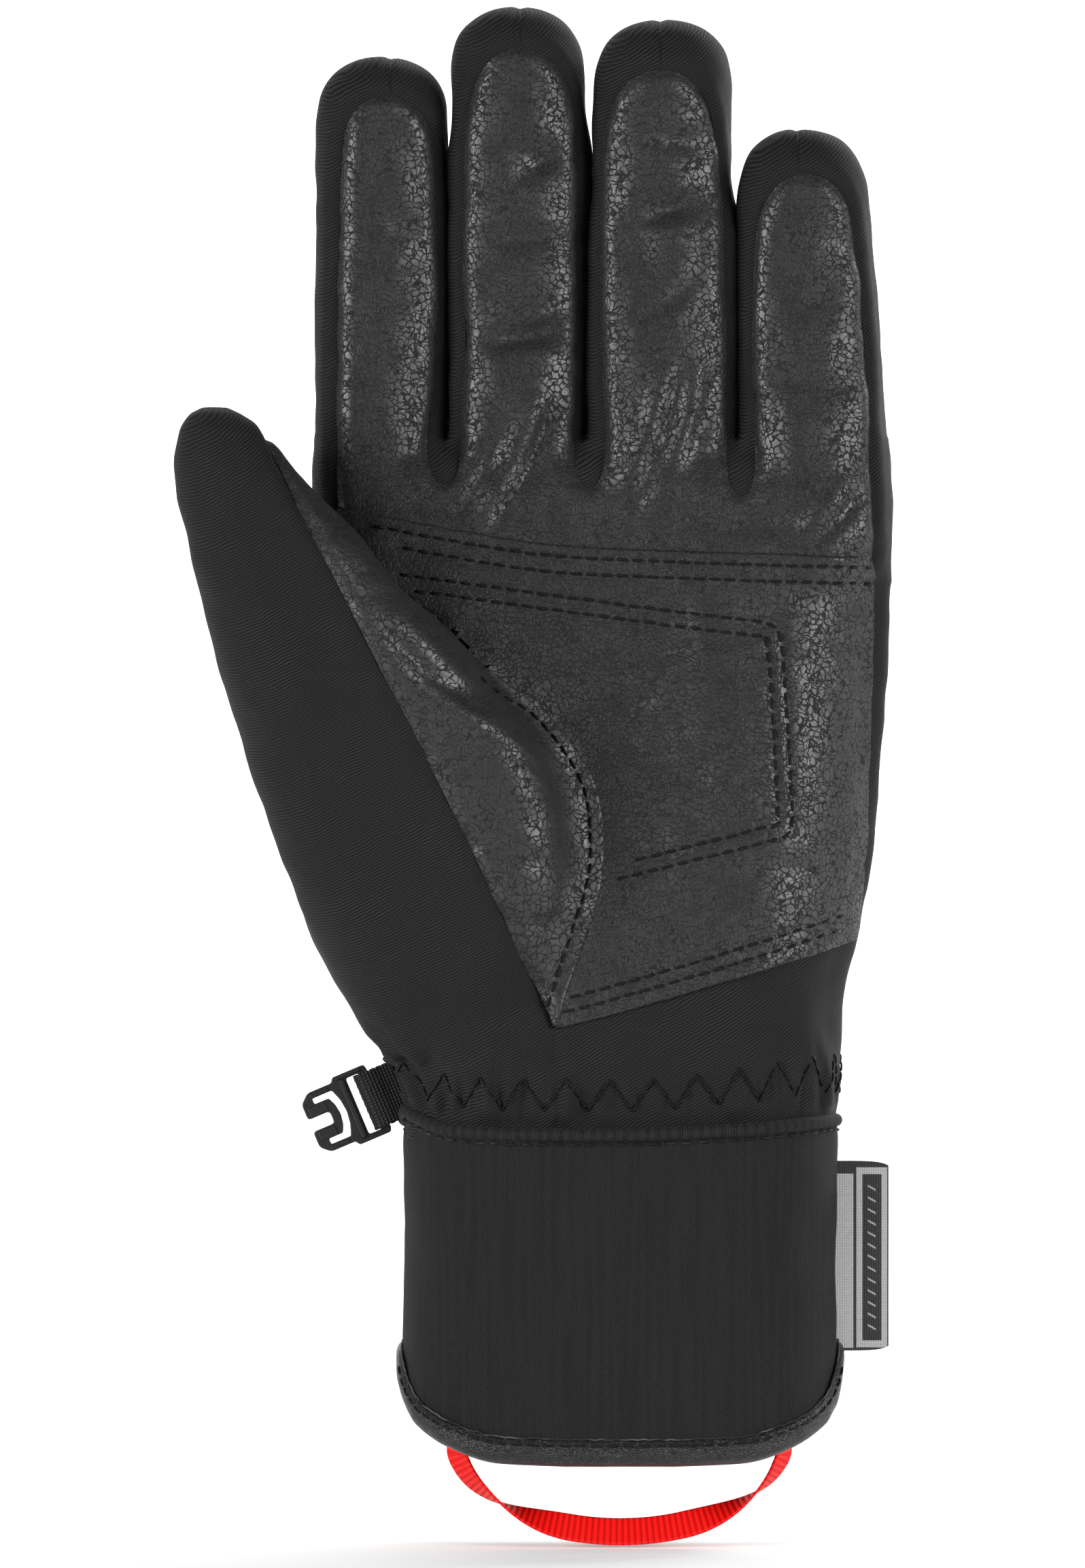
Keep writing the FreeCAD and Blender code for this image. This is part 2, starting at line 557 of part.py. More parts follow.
hook = new_body("hook")
plate = new_sketch(hook, "XZ_Plane", "hook_plate")
notch = "-Sizes.hook_long + Sizes.notch_deep"
half_outline = [(notch, "Sizes.notch_half"), ("-Sizes.hook_long", "Sizes.notch_half"),
                ("-Sizes.hook_long", "Sizes.hook_waist - Sizes.tip_bevel"),
                ("-Sizes.hook_long + Sizes.tip_bevel", "Sizes.hook_waist"),
                ("-Sizes.shoulder", "Sizes.hook_waist"), ("-Sizes.shoulder", "Sizes.hook_half"),
                ("Sizes.hook_end", "Sizes.hook_half"), ("Sizes.hook_end", "Sizes.hook_window"),
                ("-Sizes.window_long", "Sizes.hook_window")]
lower_outline = [(x, "-(%s)" % z) for x, z in reversed(half_outline)]
draw_polygon(plate, half_outline + lower_outline)
bow = "-Sizes.snap_start - Sizes.snap_bow"
half_slot = [("-Sizes.snap_start", "0"), (bow, "Sizes.snap_outer"), ("-Sizes.snap_end", "Sizes.snap_outer"),
             ("-Sizes.snap_end", "Sizes.snap_inner"), (bow + " - Sizes.snap_wide", "Sizes.snap_inner"),
             ("-Sizes.snap_start - Sizes.snap_wide", "0")]
draw_polygon(plate, half_slot + [(x, "-(%s)" % z) for x, z in reversed(half_slot[1:-1])])
pad(hook, plate, "Sizes.hook_thick", middle=True)
bar = new_sketch(hook, "XY_Plane", "hook_bar")
draw_circle(bar, "0", "Sizes.bar_radius")
pad(hook, bar, "2 * Sizes.hook_window + 0.4", middle=True)
place(hook, "Sizes.clip_x", "Sizes.clip_y", "Sizes.clip_z", "Sizes.clip_tilt")
pieces["clip_buckle"] = hook

# ---- check and write ----------------------------------------------------------------------------

doc.recompute()
failed = [item.Name for item in doc.Objects if "Invalid" in item.State or "Error" in item.State]
if failed:
    raise SystemExit("objects that failed: " + ", ".join(failed))
os.makedirs("parts", exist_ok=True)
for node, piece in pieces.items():
    piece.Label = node
    shape = piece.Shape
    if shape.isNull() or not shape.isValid() or len(shape.Solids) != 1:
        raise SystemExit(node + " is not one valid solid")
for node, piece in pieces.items():
    piece.Shape.exportStep("parts/" + node + ".step")
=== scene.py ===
import json
import math
import bpy
import numpy as np
from mathutils import Vector
from mathutils.bvhtree import BVHTree
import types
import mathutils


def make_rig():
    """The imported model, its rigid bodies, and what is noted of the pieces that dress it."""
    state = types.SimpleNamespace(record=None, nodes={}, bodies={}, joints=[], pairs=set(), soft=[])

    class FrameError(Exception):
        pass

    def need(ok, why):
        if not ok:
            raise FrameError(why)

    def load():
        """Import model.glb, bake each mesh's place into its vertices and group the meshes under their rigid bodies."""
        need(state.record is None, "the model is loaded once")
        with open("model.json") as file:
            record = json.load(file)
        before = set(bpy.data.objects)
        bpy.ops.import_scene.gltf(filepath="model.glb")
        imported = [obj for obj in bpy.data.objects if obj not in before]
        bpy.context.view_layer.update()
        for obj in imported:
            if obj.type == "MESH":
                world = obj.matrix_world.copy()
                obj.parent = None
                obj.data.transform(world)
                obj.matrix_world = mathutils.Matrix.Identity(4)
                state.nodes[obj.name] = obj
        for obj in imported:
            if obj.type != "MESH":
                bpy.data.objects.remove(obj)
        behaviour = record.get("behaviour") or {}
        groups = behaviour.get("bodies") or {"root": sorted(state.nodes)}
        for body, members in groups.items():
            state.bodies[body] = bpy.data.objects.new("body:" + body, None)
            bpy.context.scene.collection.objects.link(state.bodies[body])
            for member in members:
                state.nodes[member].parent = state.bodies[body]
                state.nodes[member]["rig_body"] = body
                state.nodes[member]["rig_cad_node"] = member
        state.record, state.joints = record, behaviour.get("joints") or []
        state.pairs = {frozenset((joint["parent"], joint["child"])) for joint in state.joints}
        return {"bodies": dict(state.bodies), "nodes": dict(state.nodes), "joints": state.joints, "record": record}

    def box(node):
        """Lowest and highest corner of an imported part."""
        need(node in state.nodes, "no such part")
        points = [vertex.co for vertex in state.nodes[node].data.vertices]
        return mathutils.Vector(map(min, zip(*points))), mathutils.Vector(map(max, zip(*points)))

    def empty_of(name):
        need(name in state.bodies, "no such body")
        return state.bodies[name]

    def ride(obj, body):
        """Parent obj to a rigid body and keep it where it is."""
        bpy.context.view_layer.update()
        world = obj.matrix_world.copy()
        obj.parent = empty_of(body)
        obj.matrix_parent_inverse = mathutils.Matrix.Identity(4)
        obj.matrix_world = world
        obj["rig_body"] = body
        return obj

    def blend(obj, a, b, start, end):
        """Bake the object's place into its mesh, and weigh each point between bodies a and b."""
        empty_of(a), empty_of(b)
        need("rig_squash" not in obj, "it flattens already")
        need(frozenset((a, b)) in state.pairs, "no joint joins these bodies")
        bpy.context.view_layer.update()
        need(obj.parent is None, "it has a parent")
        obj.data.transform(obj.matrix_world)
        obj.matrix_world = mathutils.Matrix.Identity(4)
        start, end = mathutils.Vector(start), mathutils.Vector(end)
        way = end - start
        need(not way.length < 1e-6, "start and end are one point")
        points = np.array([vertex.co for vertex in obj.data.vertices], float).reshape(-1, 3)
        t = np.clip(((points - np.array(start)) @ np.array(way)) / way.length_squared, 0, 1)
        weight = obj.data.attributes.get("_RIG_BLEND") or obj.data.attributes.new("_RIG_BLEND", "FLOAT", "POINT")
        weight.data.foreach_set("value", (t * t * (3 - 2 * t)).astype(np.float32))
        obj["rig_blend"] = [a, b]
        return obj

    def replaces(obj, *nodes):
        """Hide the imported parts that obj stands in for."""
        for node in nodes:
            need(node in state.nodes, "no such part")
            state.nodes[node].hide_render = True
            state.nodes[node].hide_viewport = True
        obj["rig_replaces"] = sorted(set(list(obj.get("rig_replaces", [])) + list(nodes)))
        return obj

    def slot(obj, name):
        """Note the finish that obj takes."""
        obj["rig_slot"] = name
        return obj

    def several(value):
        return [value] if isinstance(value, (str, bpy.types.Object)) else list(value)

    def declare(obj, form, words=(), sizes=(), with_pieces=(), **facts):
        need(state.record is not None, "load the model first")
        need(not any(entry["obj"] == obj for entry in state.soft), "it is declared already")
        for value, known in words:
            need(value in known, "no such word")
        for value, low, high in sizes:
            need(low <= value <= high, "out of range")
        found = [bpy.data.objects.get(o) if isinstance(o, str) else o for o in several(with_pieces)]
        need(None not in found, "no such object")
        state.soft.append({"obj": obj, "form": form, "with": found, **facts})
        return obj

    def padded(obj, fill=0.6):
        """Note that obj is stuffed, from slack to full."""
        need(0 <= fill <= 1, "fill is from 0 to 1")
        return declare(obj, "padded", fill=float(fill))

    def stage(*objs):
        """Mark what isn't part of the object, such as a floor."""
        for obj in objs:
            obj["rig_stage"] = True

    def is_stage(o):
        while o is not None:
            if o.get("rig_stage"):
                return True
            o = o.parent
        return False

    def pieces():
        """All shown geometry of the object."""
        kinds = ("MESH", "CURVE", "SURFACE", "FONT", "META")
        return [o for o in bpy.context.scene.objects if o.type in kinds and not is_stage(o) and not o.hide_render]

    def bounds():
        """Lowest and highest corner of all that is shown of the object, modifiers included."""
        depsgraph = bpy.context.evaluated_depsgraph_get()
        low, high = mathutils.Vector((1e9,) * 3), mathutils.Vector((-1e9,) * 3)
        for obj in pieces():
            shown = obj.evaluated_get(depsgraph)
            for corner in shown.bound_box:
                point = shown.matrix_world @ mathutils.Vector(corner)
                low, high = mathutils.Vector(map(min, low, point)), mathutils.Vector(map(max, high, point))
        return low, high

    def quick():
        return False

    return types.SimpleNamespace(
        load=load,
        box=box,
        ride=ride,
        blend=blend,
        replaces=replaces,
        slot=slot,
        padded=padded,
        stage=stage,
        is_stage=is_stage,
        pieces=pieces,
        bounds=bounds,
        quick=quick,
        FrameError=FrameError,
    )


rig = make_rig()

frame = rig.load()
cad_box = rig.bounds()
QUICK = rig.quick()
MM = 0.001
scene = bpy.context.scene

# ------------------------------------------------------------------ camera
# The glove stands on its cuff, palm towards the camera, seen square on with a long lens.
FRAME_TALL, FRAME_CENTRE, CAMERA_AWAY = 0.2952, (-0.0147, 0.1281), 2.2
SENSOR, PALM_FORWARD = 24, 0.015
lens = bpy.data.cameras.new("camera")
lens.sensor_fit = "VERTICAL"
lens.sensor_height = SENSOR
lens.lens = SENSOR * (CAMERA_AWAY - PALM_FORWARD) / FRAME_TALL
lens.clip_start, lens.clip_end = 0.05, 40
camera = bpy.data.objects.new("camera", lens)
camera.location = (FRAME_CENTRE[0], -CAMERA_AWAY, FRAME_CENTRE[1])
camera.rotation_euler = (math.radians(90), 0, 0)
scene.collection.objects.link(camera)
scene.camera = camera

# ------------------------------------------------------------------ smooth noise
GRADIENTS = np.random.default_rng(7).normal(size=(4096, 3))
GRADIENTS /= np.linalg.norm(GRADIENTS, axis=1)[:, None]
MIXERS = np.array([73856093, 19349663, 83492791])  # primes that scatter the cells' numbers
FULL_SWING = 1.6  # brings the sum out to about -1 and 1


def noise(p, size, seed=0):
    """Gradient noise from -1 to 1 at points p, with features of about size."""
    q = np.asarray(p, float) / size + seed * 17.3
    cell = np.floor(q).astype(np.int64)
    f = q - cell
    u = f * f * f * (f * (f * 6 - 15) + 10)
    total = 0
    for corner in np.ndindex(2, 2, 2):
        c = cell + corner
        h = np.bitwise_xor.reduce(c * MIXERS, axis=1) % len(GRADIENTS)
        dot = ((f - corner) * GRADIENTS[h]).sum(1)
        w = np.prod(np.where(np.array(corner) == 1, u, 1 - u), axis=1)
        total = total + dot * w
    return total * FULL_SWING


def smooth(edge0, edge1, x):
    """0 at edge0 and 1 at edge1, easing in and out between them."""
    t = np.clip((x - edge0) / (edge1 - edge0), 0, 1)
    return t * t * (3 - 2 * t)


def bell(x, width):
    """1 in the middle, falling to 0 on both sides."""
    return np.exp(-(x / width) ** 2)


def unit(v, least=1e-9):
    """Rows of v brought to length 1."""
    return v / np.maximum(np.linalg.norm(v, axis=-1), least)[..., None]


def curve_through(x, xs, ys):
    """Smooth cubic through the points (xs, ys), read at x, with no overshoot."""
    xs, ys = np.asarray(xs, float), np.asarray(ys, float)
    slope = np.diff(ys) / np.diff(xs)
    m = np.zeros(len(xs))
    m[0], m[-1] = slope[0], slope[-1]
    same = slope[:-1] * slope[1:] > 0
    m[1:-1] = np.where(same, 2 * slope[:-1] * slope[1:] / np.where(same, slope[:-1] + slope[1:], 1), 0)
    x = np.clip(x, xs[0], xs[-1])
    i = np.clip(np.searchsorted(xs, x) - 1, 0, len(xs) - 2)
    h = xs[i + 1] - xs[i]
    t = (x - xs[i]) / h
    t2, t3 = t * t, t * t * t
    return ((2 * t3 - 3 * t2 + 1) * ys[i] + (t3 - 2 * t2 + t) * h * m[i]
            + (3 * t2 - 2 * t3) * ys[i + 1] + (t3 - t2) * h * m[i + 1])


def rounded_line(points, steps):
    """A smooth line through points, as many short steps."""
    p = np.asarray(points, float)
    out = []
    for i in range(len(p) - 1):
        a, b, c, d = p[max(i - 1, 0)], p[i], p[i + 1], p[min(i + 2, len(p) - 1)]
        for t in np.arange(steps) / steps:
            out.append(0.5 * ((2 * b) + (c - a) * t + (2 * a - 5 * b + 4 * c - d) * t ** 2
                              + (3 * b - a - 3 * c + d) * t ** 3))
    return np.array([*out, p[-1]])


def lengths_along(line):
    """How far along the line each of its points is."""
    return np.concatenate([[0], np.cumsum(np.linalg.norm(np.diff(line, axis=0), axis=1))])


def line_distance(points, line, closed=False):
    """Distance of 2-D points from a line, and the side they are on (+ is left of its direction)."""
    a = line
    b = np.roll(line, -1, axis=0)
    if not closed:
        a, b = a[:-1], b[:-1]
    best = np.full(len(points), 1e9)
    side = np.ones(len(points))
    for p0, p1 in zip(a, b):
        d = p1 - p0
        length = d @ d
        if length < 1e-12:
            continue
        r = points - p0
        t = np.clip((r @ d) / length, 0, 1)
        off = r - t[:, None] * d
        dist = np.sqrt((off ** 2).sum(1))
        near = dist < best
        best = np.where(near, dist, best)
        side = np.where(near, np.sign(d[0] * r[:, 1] - d[1] * r[:, 0]), side)
    return best, side


def inside_shape(points, outline):
    """Signed distance of 2-D points from a closed outline, negative inside."""
    dist, _ = line_distance(points, outline, closed=True)
    inside = np.zeros(len(points), bool)
    x, y = points[:, 0], points[:, 1]
    for p0, p1 in zip(outline, np.roll(outline, -1, axis=0)):
        crosses = (p0[1] > y) != (p1[1] > y)
        rise = np.where(p1[1] != p0[1], p1[1] - p0[1], 1)
        inside ^= crosses & (x < (p1[0] - p0[0]) * (y - p0[1]) / rise + p0[0])
    return np.where(inside, -dist, dist)


# ------------------------------------------------------------------ forms of the hand, in millimetres
def sections(z, table):
    """Left, right, front, back and corner of a form at each height."""
    t = np.array(table, float)
    return [curve_through(z, t[:, 0], t[:, k]) for k in range(1, 6)]


def section_distance(p, table, top, bottom=None):
    left, right, front, back, corner = sections(p[..., 2], table)
    half_x, half_y = (right - left) / 2, (back - front) / 2
    corner = np.minimum(corner, np.minimum(half_x, half_y) - 0.01)
    qx = np.abs(p[..., 0] - (left + right) / 2) - half_x + corner
    qy = np.abs(p[..., 1] - (front + back) / 2) - half_y + corner
    d = (np.sqrt(np.maximum(qx, 0) ** 2 + np.maximum(qy, 0) ** 2)
         + np.minimum(np.maximum(qx, qy), 0) - corner)
    if bottom is not None:
        d = np.maximum(d, bottom - p[..., 2])
    return np.maximum(d, p[..., 2] - top)


# level, left, right, front, back, corner
PALM = [
    (60, -41, 41, -21.6, 21.6, 19), (66, -41, 41, -21.8, 21.8, 19), (72, -41.4, 41.1, -22, 22, 19.5),
    (78, -44, 41.4, -22, 22, 19.5), (84, -48.9, 41.9, -22, 21.9, 19.5), (91, -53.5, 43, -21.8, 21.5, 19.5),
    (99, -55.8, 45.2, -21.6, 21.5, 19.3), (110, -57, 47.2, -21.5, 21.5, 19),
    (128, -57.4, 49.2, -21.2, 21.2, 18.6), (148, -57.6, 50.4, -19.6, 20.4, 17),
    (160, -57.6, 51.1, -18, 19, 15.6), (168, -57.6, 51.1, -17, 18, 14.8),
    (181, -57.4, 50.5, -15, 15.6, 13.4), (188, -57.2, 49.7, -12, 13.4, 11), (192, -56.8, 49.6, -8, 10, 8)]
THUMB = [
    (76, -44, -20, -17, 0, 8), (83, -48.6, -16, -21.4, 1.5, 10), (91, -53.2, -13.5, -26.2, 3, 13),
    (100, -58, -11.5, -29.4, 4, 12), (114, -63.5, -8.6, -33, 4, 11.5), (122, -66.6, -8.8, -34.8, 3.4, 11.5),
    (130, -69.5, -10.8, -36.4, 1.6, 12), (140, -72.6, -17, -38.2, -1.6, 13.5),
    (147, -74.8, -24.6, -39.3, -4.5, 15.4), (157, -77.2, -33.2, -40, -9.5, 14.4),
    (167, -79.5, -43, -40.3, -14, 12.6), (175, -81.4, -49.6, -40.5, -15.9, 12),
    (182, -83, -56.9, -40.5, -17, 11.6), (188, -83.5, -62.3, -39.9, -18, 10.2),
    (193.6, -82.6, -66.8, -38, -20.2, 7.8),
    (197.2, -80.6, -70.8, -34.6, -23.8, 4.8), (198.6, -78.4, -73.4, -31.4, -27.2, 2)]
FINGER_NAMES = ("index", "middle", "ring", "little")
LEAN_FROM = 191
FINGERS = {  # middle line there, sideways lean per mm, radius at the root and at the last joint, tip
    "index": (-45.1, 0.0, 12.4, 12.2, 265.7),
    "middle": (-19.3, 0.0, 12.35, 12.35, 275.3),
    "ring": (8.0, 0.0, 13.2, 12.7, 273.0),
    "little": (36.8, -0.042, 13.2, 11.6, 252.2)}
PRESSED = {  # how far each side swells until it presses on its neighbour, and the level where that ends
    "index": (0.0, 0.7, 240), "middle": (0.7, 1.35, 250), "ring": (1.1, 2.2, 236), "little": (1.1, 0.7, 240)}
CROTCH, ROOT = 184.5, 176.0  # the gap between two fingers, and where the fingers' forms begin
TIP_ROUND, FINGER_SHEAR = 12.5, 0.1
SQUARENESS = 2.35  # of a finger's section: 2 is an ellipse
FREE_FINGERS = 197.0


def finger_distance(p, name):
    middle, lean, root, near_tip, tip = FINGERS[name]
    z = p[..., 2]
    r = root + (near_tip - root) * np.clip((z - 190) / (tip - 12 - 190), 0, 1)
    r = r + 0.2 - 2.2 * smooth(183, 168, z)
    u = np.clip((z - (tip - TIP_ROUND)) / TIP_ROUND, 0, 1.0)
    r_end = r * (1 - u ** 2.5) ** (1 / 2.2)
    # the sides lean a little, so that neighbours close the view between them
    left, right, level = PRESSED[name]
    dx = p[..., 0] - (middle + lean * (z - LEAN_FROM)) - FINGER_SHEAR * p[..., 1]
    swell = np.where(dx < 0, left, right) * smooth(level + 7, level - 5, z)
    dx = np.abs(dx) * r / (r + swell)
    dy = np.abs(p[..., 1] - 0.2) * (1.03 - 0.12 * smooth(228, 192, z))
    ring = (dx ** SQUARENESS + dy ** SQUARENESS + 1e-9) ** (1 / SQUARENESS)
    d = (ring - r_end) / (1 + 1.5 * u ** 2)
    return np.maximum(np.maximum(d, z - tip), ROOT - 8 - z)


def nearest_finger(names):
    return lambda p: np.minimum.reduce([finger_distance(p, name) for name in names])


def smooth_least(a, b, k):
    """The smaller of a and b, rounded over k where they meet."""
    h = np.clip(0.5 + 0.5 * (b - a) / k, 0, 1)
    return b + (a - b) * h - k * h * (1 - h)


def palm_distance(p):
    # beyond the hollow of the hand the palm rounds off towards its outer edge
    x, y, z = np.moveaxis(p, -1, 0)
    fall = 0.0075 * np.maximum(x - 13, 0) ** 2 * smooth(178, 160, z) * smooth(72, 88, z)
    q = p - np.array([0, 1.0, 0]) * (fall * smooth(5, -9, y))[..., None]
    d = section_distance(q, PALM, top=192)
    # the web between two fingers is a shallow saddle
    return smooth_least(d, nearest_finger(FINGER_NAMES)(p), 3.2)


def thumb_distance(p):
    # the ball of the thumb is highest beside the palm
    tilt = 0.1 * smooth(150, 128, p[..., 2]) * smooth(84, 98, p[..., 2])
    q = p + np.array([0, 1.0, 0]) * (tilt * (p[..., 0] + 24))[..., None]
    return section_distance(q, THUMB, top=198.6, bottom=76)


def hand_distance(p):
    z = p[..., 2]
    k = 1.4 + 5.6 * smooth(158, 134, z) * smooth(80, 104, z)
    return smooth_least(palm_distance(p), thumb_distance(p), k)


# The thumb bends here: below the plane it is one with the palm, above it stands free.
JOINT = {j["name"]: j for j in frame["joints"]}
PLANE_POINT = np.array([-56.2, 0, 154.5])
PLANE_UP = np.array([-0.485, 0, 0.8745])


def above_fold(p):
    """Height above the plane where the thumb bends."""
    return (p - PLANE_POINT) @ PLANE_UP


# ------------------------------------------------------------------ meshes from forms
def surface_net(distance, low, high, h):
    """Quads over the surface where distance is 0, one vertex to each lattice cell it crosses."""
    first = [int(math.floor(v / h)) for v in low]
    count = [int(math.ceil(v / h)) - f + 1 for v, f in zip(high, first)]
    axes = [(f + np.arange(c)) * h for f, c in zip(first, count)]
    field = np.empty(count, np.float32)
    for i0 in range(0, count[0], 24):
        part = np.stack(np.meshgrid(axes[0][i0:i0 + 24], axes[1], axes[2], indexing="ij"), -1)
        field[i0:i0 + 24] = distance(part)
    inside = field < 0
    total = sum(inside[a:count[0] - 1 + a, b:count[1] - 1 + b, c:count[2] - 1 + c].astype(np.int8)
                for a, b, c in np.ndindex(2, 2, 2))
    active = (total > 0) & (total < 8)
    cells = np.argwhere(active)
    index = np.full(active.shape, -1, np.int64)
    index[active] = np.arange(len(cells))
    acc, n = np.zeros((len(cells), 3)), np.zeros(len(cells))
    for axis, a, b in np.ndindex(3, 2, 2):
        o = np.zeros(3, int)
        o[(axis + 1) % 3], o[(axis + 2) % 3] = a, b
        s = cells + o
        f0, f1 = (field[tuple(q.T)].astype(float) for q in (s, s + np.eye(3, dtype=int)[axis]))
        cross = (f0 < 0) != (f1 < 0)
        at = s.astype(float)
        at[:, axis] += np.where(cross, f0 / np.where(cross, f0 - f1, 1), 0)
        acc[cross] += at[cross]
        n += cross
    verts = (acc / n[:, None] + np.array(first)) * h
    quads = []
    for axis in range(3):
        b, c = (axis + 1) % 3, (axis + 2) % 3
        change = np.diff(inside.astype(np.int8), axis=axis) != 0
        for k in (b, c):
            ends = np.moveaxis(change, k, 0)
            ends[0] = ends[-1] = False
        e = np.argwhere(change)
        eb, ec = np.eye(3, dtype=int)[b], np.eye(3, dtype=int)[c]
        q = np.stack([index[tuple((e - eb - ec).T)], index[tuple((e - ec).T)],
                      index[tuple(e.T)], index[tuple((e - eb).T)]], 1)
        outward = inside[tuple(e.T)]
        q[~outward] = q[~outward][:, ::-1]
        quads.append(q)
    quads = np.concatenate(quads)
    # the short diagonal of each quad makes the better pair of triangles
    v = verts[quads]
    cut = (np.linalg.norm(v[:, 0] - v[:, 2], axis=1) <= np.linalg.norm(v[:, 1] - v[:, 3], axis=1))[:, None]
    one = np.where(cut, quads[:, [0, 1, 2]], quads[:, [0, 1, 3]])
    two = np.where(cut, quads[:, [0, 2, 3]], quads[:, [1, 2, 3]])
    return verts, np.concatenate([one, two])


def gradient(distance, p):
    e = 0.05
    return np.stack([(distance(p + step) - distance(p - step)) / (2 * e) for step in np.eye(3) * e], 1)


def summed(index, values, count):
    """Sums of values (rows) by index."""
    return np.stack([np.bincount(index, values[:, k], count) for k in range(values.shape[1])], 1)


def settle(distance, verts, tris):
    """Evens out the vertices along the surface and brings them onto it."""
    for _ in range(2):
        one = edges_of(tris)
        one = np.concatenate([one, one[:, ::-1]])
        n = np.bincount(one[:, 0], minlength=len(verts))
        mean = summed(one[:, 0], verts[one[:, 1]], len(verts)) / np.maximum(n, 1)[:, None]
        verts = verts + 0.5 * (mean - verts)
        for _ in range(2):
            g = gradient(distance, verts)
            size = np.maximum((g ** 2).sum(1), 0.05)
            move = g * (distance(verts) / size)[:, None]
            length = np.linalg.norm(move, axis=1)
            verts = verts - move * np.minimum(1, 0.5 / np.maximum(length, 1e-9))[:, None]
    return verts


def split(verts, cut, f):
    """Cuts triangles that f changes sign across: all the points with the new ones last, and the parts."""
    s = np.sign(f)[cut]
    zero = (s == 0).any(1)
    lone = np.where(zero, np.argmax(s == 0, axis=1),
                    np.argmax((s * np.sign(s.sum(1))[:, None]) < 0, axis=1))
    rows = np.arange(len(cut))
    a, b, c = cut[rows, lone], cut[rows, (lone + 1) % 3], cut[rows, (lone + 2) % 3]
    ends = np.concatenate([np.stack([b, c], 1)[zero], np.stack([a, b], 1)[~zero], np.stack([a, c], 1)[~zero]])
    ends = np.sort(ends, axis=1)
    unique, back = np.unique(ends, axis=0, return_inverse=True)
    back = back.reshape(-1)
    f0, f1 = f[unique[:, 0]], f[unique[:, 1]]
    t = (f0 / (f0 - f1))[:, None]
    fresh = verts[unique[:, 0]] * (1 - t) + verts[unique[:, 1]] * t
    number = back + len(verts)
    nz, nf = zero.sum(), (~zero).sum()
    m = number[:nz]
    ab, ac = number[nz:nz + nf], number[nz + nf:]
    az, bz, cz = a[zero], b[zero], c[zero]
    af, bf, cf = a[~zero], b[~zero], c[~zero]
    made = [np.stack(t3, 1) for t3 in ((az, bz, m), (az, m, cz), (af, ab, ac), (ab, bf, cf), (ab, cf, ac))]
    return np.concatenate([verts, fresh]), np.concatenate(made)


def edges_of(tris):
    return np.concatenate([tris[:, [0, 1]], tris[:, [1, 2]], tris[:, [2, 0]]])


def used(tris):
    """The points that triangles use, and the triangles by their numbers among those."""
    keep, back = np.unique(tris, return_inverse=True)
    return keep, back.reshape(tris.shape)


def vertex_normals(verts, tris):
    v = verts[tris]
    face = np.cross(v[:, 1] - v[:, 0], v[:, 2] - v[:, 0])
    n = summed(tris.T.ravel(), np.tile(face, (3, 1)), len(verts))
    return unit(n, 1e-12)


# ------------------------------------------------------------------ objects
def new_object(name, verts, faces, normals=None, rest=None, smooth_faces=True):
    """A mesh object from millimetres, which remembers where its points were for its material."""
    mesh = bpy.data.meshes.new(name)
    verts = np.asarray(verts, float)
    if isinstance(faces, np.ndarray):
        k = faces.shape[1]
        mesh.vertices.add(len(verts))
        mesh.vertices.foreach_set("co", (verts * MM).astype(np.float32).ravel())
        mesh.loops.add(faces.size)
        mesh.loops.foreach_set("vertex_index", faces.astype(np.int32).ravel())
        mesh.polygons.add(len(faces))
        mesh.polygons.foreach_set("loop_start", np.arange(0, faces.size, k, dtype=np.int32))
        mesh.update(calc_edges=True)
    else:
        mesh.from_pydata([tuple(v * MM) for v in verts], [], [tuple(f) for f in faces])
        mesh.update()
    mesh.validate()
    mesh.polygons.foreach_set("use_smooth", [smooth_faces] * len(mesh.polygons))
    at = mesh.attributes.new("rest_co", "FLOAT_VECTOR", "POINT")
    at.data.foreach_set("vector", np.asarray(verts if rest is None else rest, np.float32).ravel())
    if normals is not None:
        mesh.normals_split_custom_set_from_vertices([tuple(n) for n in normals])
    obj = bpy.data.objects.new(name, mesh)
    scene.collection.objects.link(obj)
    return obj


def polyline_tube(points, radius, sides, normals, closed=False, flatten=1.0):
    """Verts and quads of a round thread along points; flatten squashes it along normals."""
    p = np.asarray(points, float)
    n = len(p)
    tangent = unit(np.roll(p, -1, 0) - np.roll(p, 1, 0) if closed else np.gradient(p, axis=0))
    side = unit(np.cross(tangent, np.asarray(normals, float)))
    up = np.cross(side, tangent)
    angle = np.arange(sides) / sides * 2 * np.pi
    ring = (p[:, None] + (np.cos(angle)[None, :, None] * side[:, None]
            + np.sin(angle)[None, :, None] * up[:, None] * flatten) * radius)
    i = np.arange(n if closed else n - 1)[:, None]
    j = np.arange(sides)[None]
    k = (i + 1) % n
    quads = np.stack([i * sides + j, i * sides + (j + 1) % sides,
                      k * sides + (j + 1) % sides, k * sides + j], -1).reshape(-1, 4)
    return ring.reshape(-1, 3), quads


def joined(parts):
    verts, faces, n = [], [], 0
    for v, f in parts:
        verts.append(v)
        faces.append(f + n)
        n += len(v)
    return np.concatenate(verts), np.concatenate(faces)


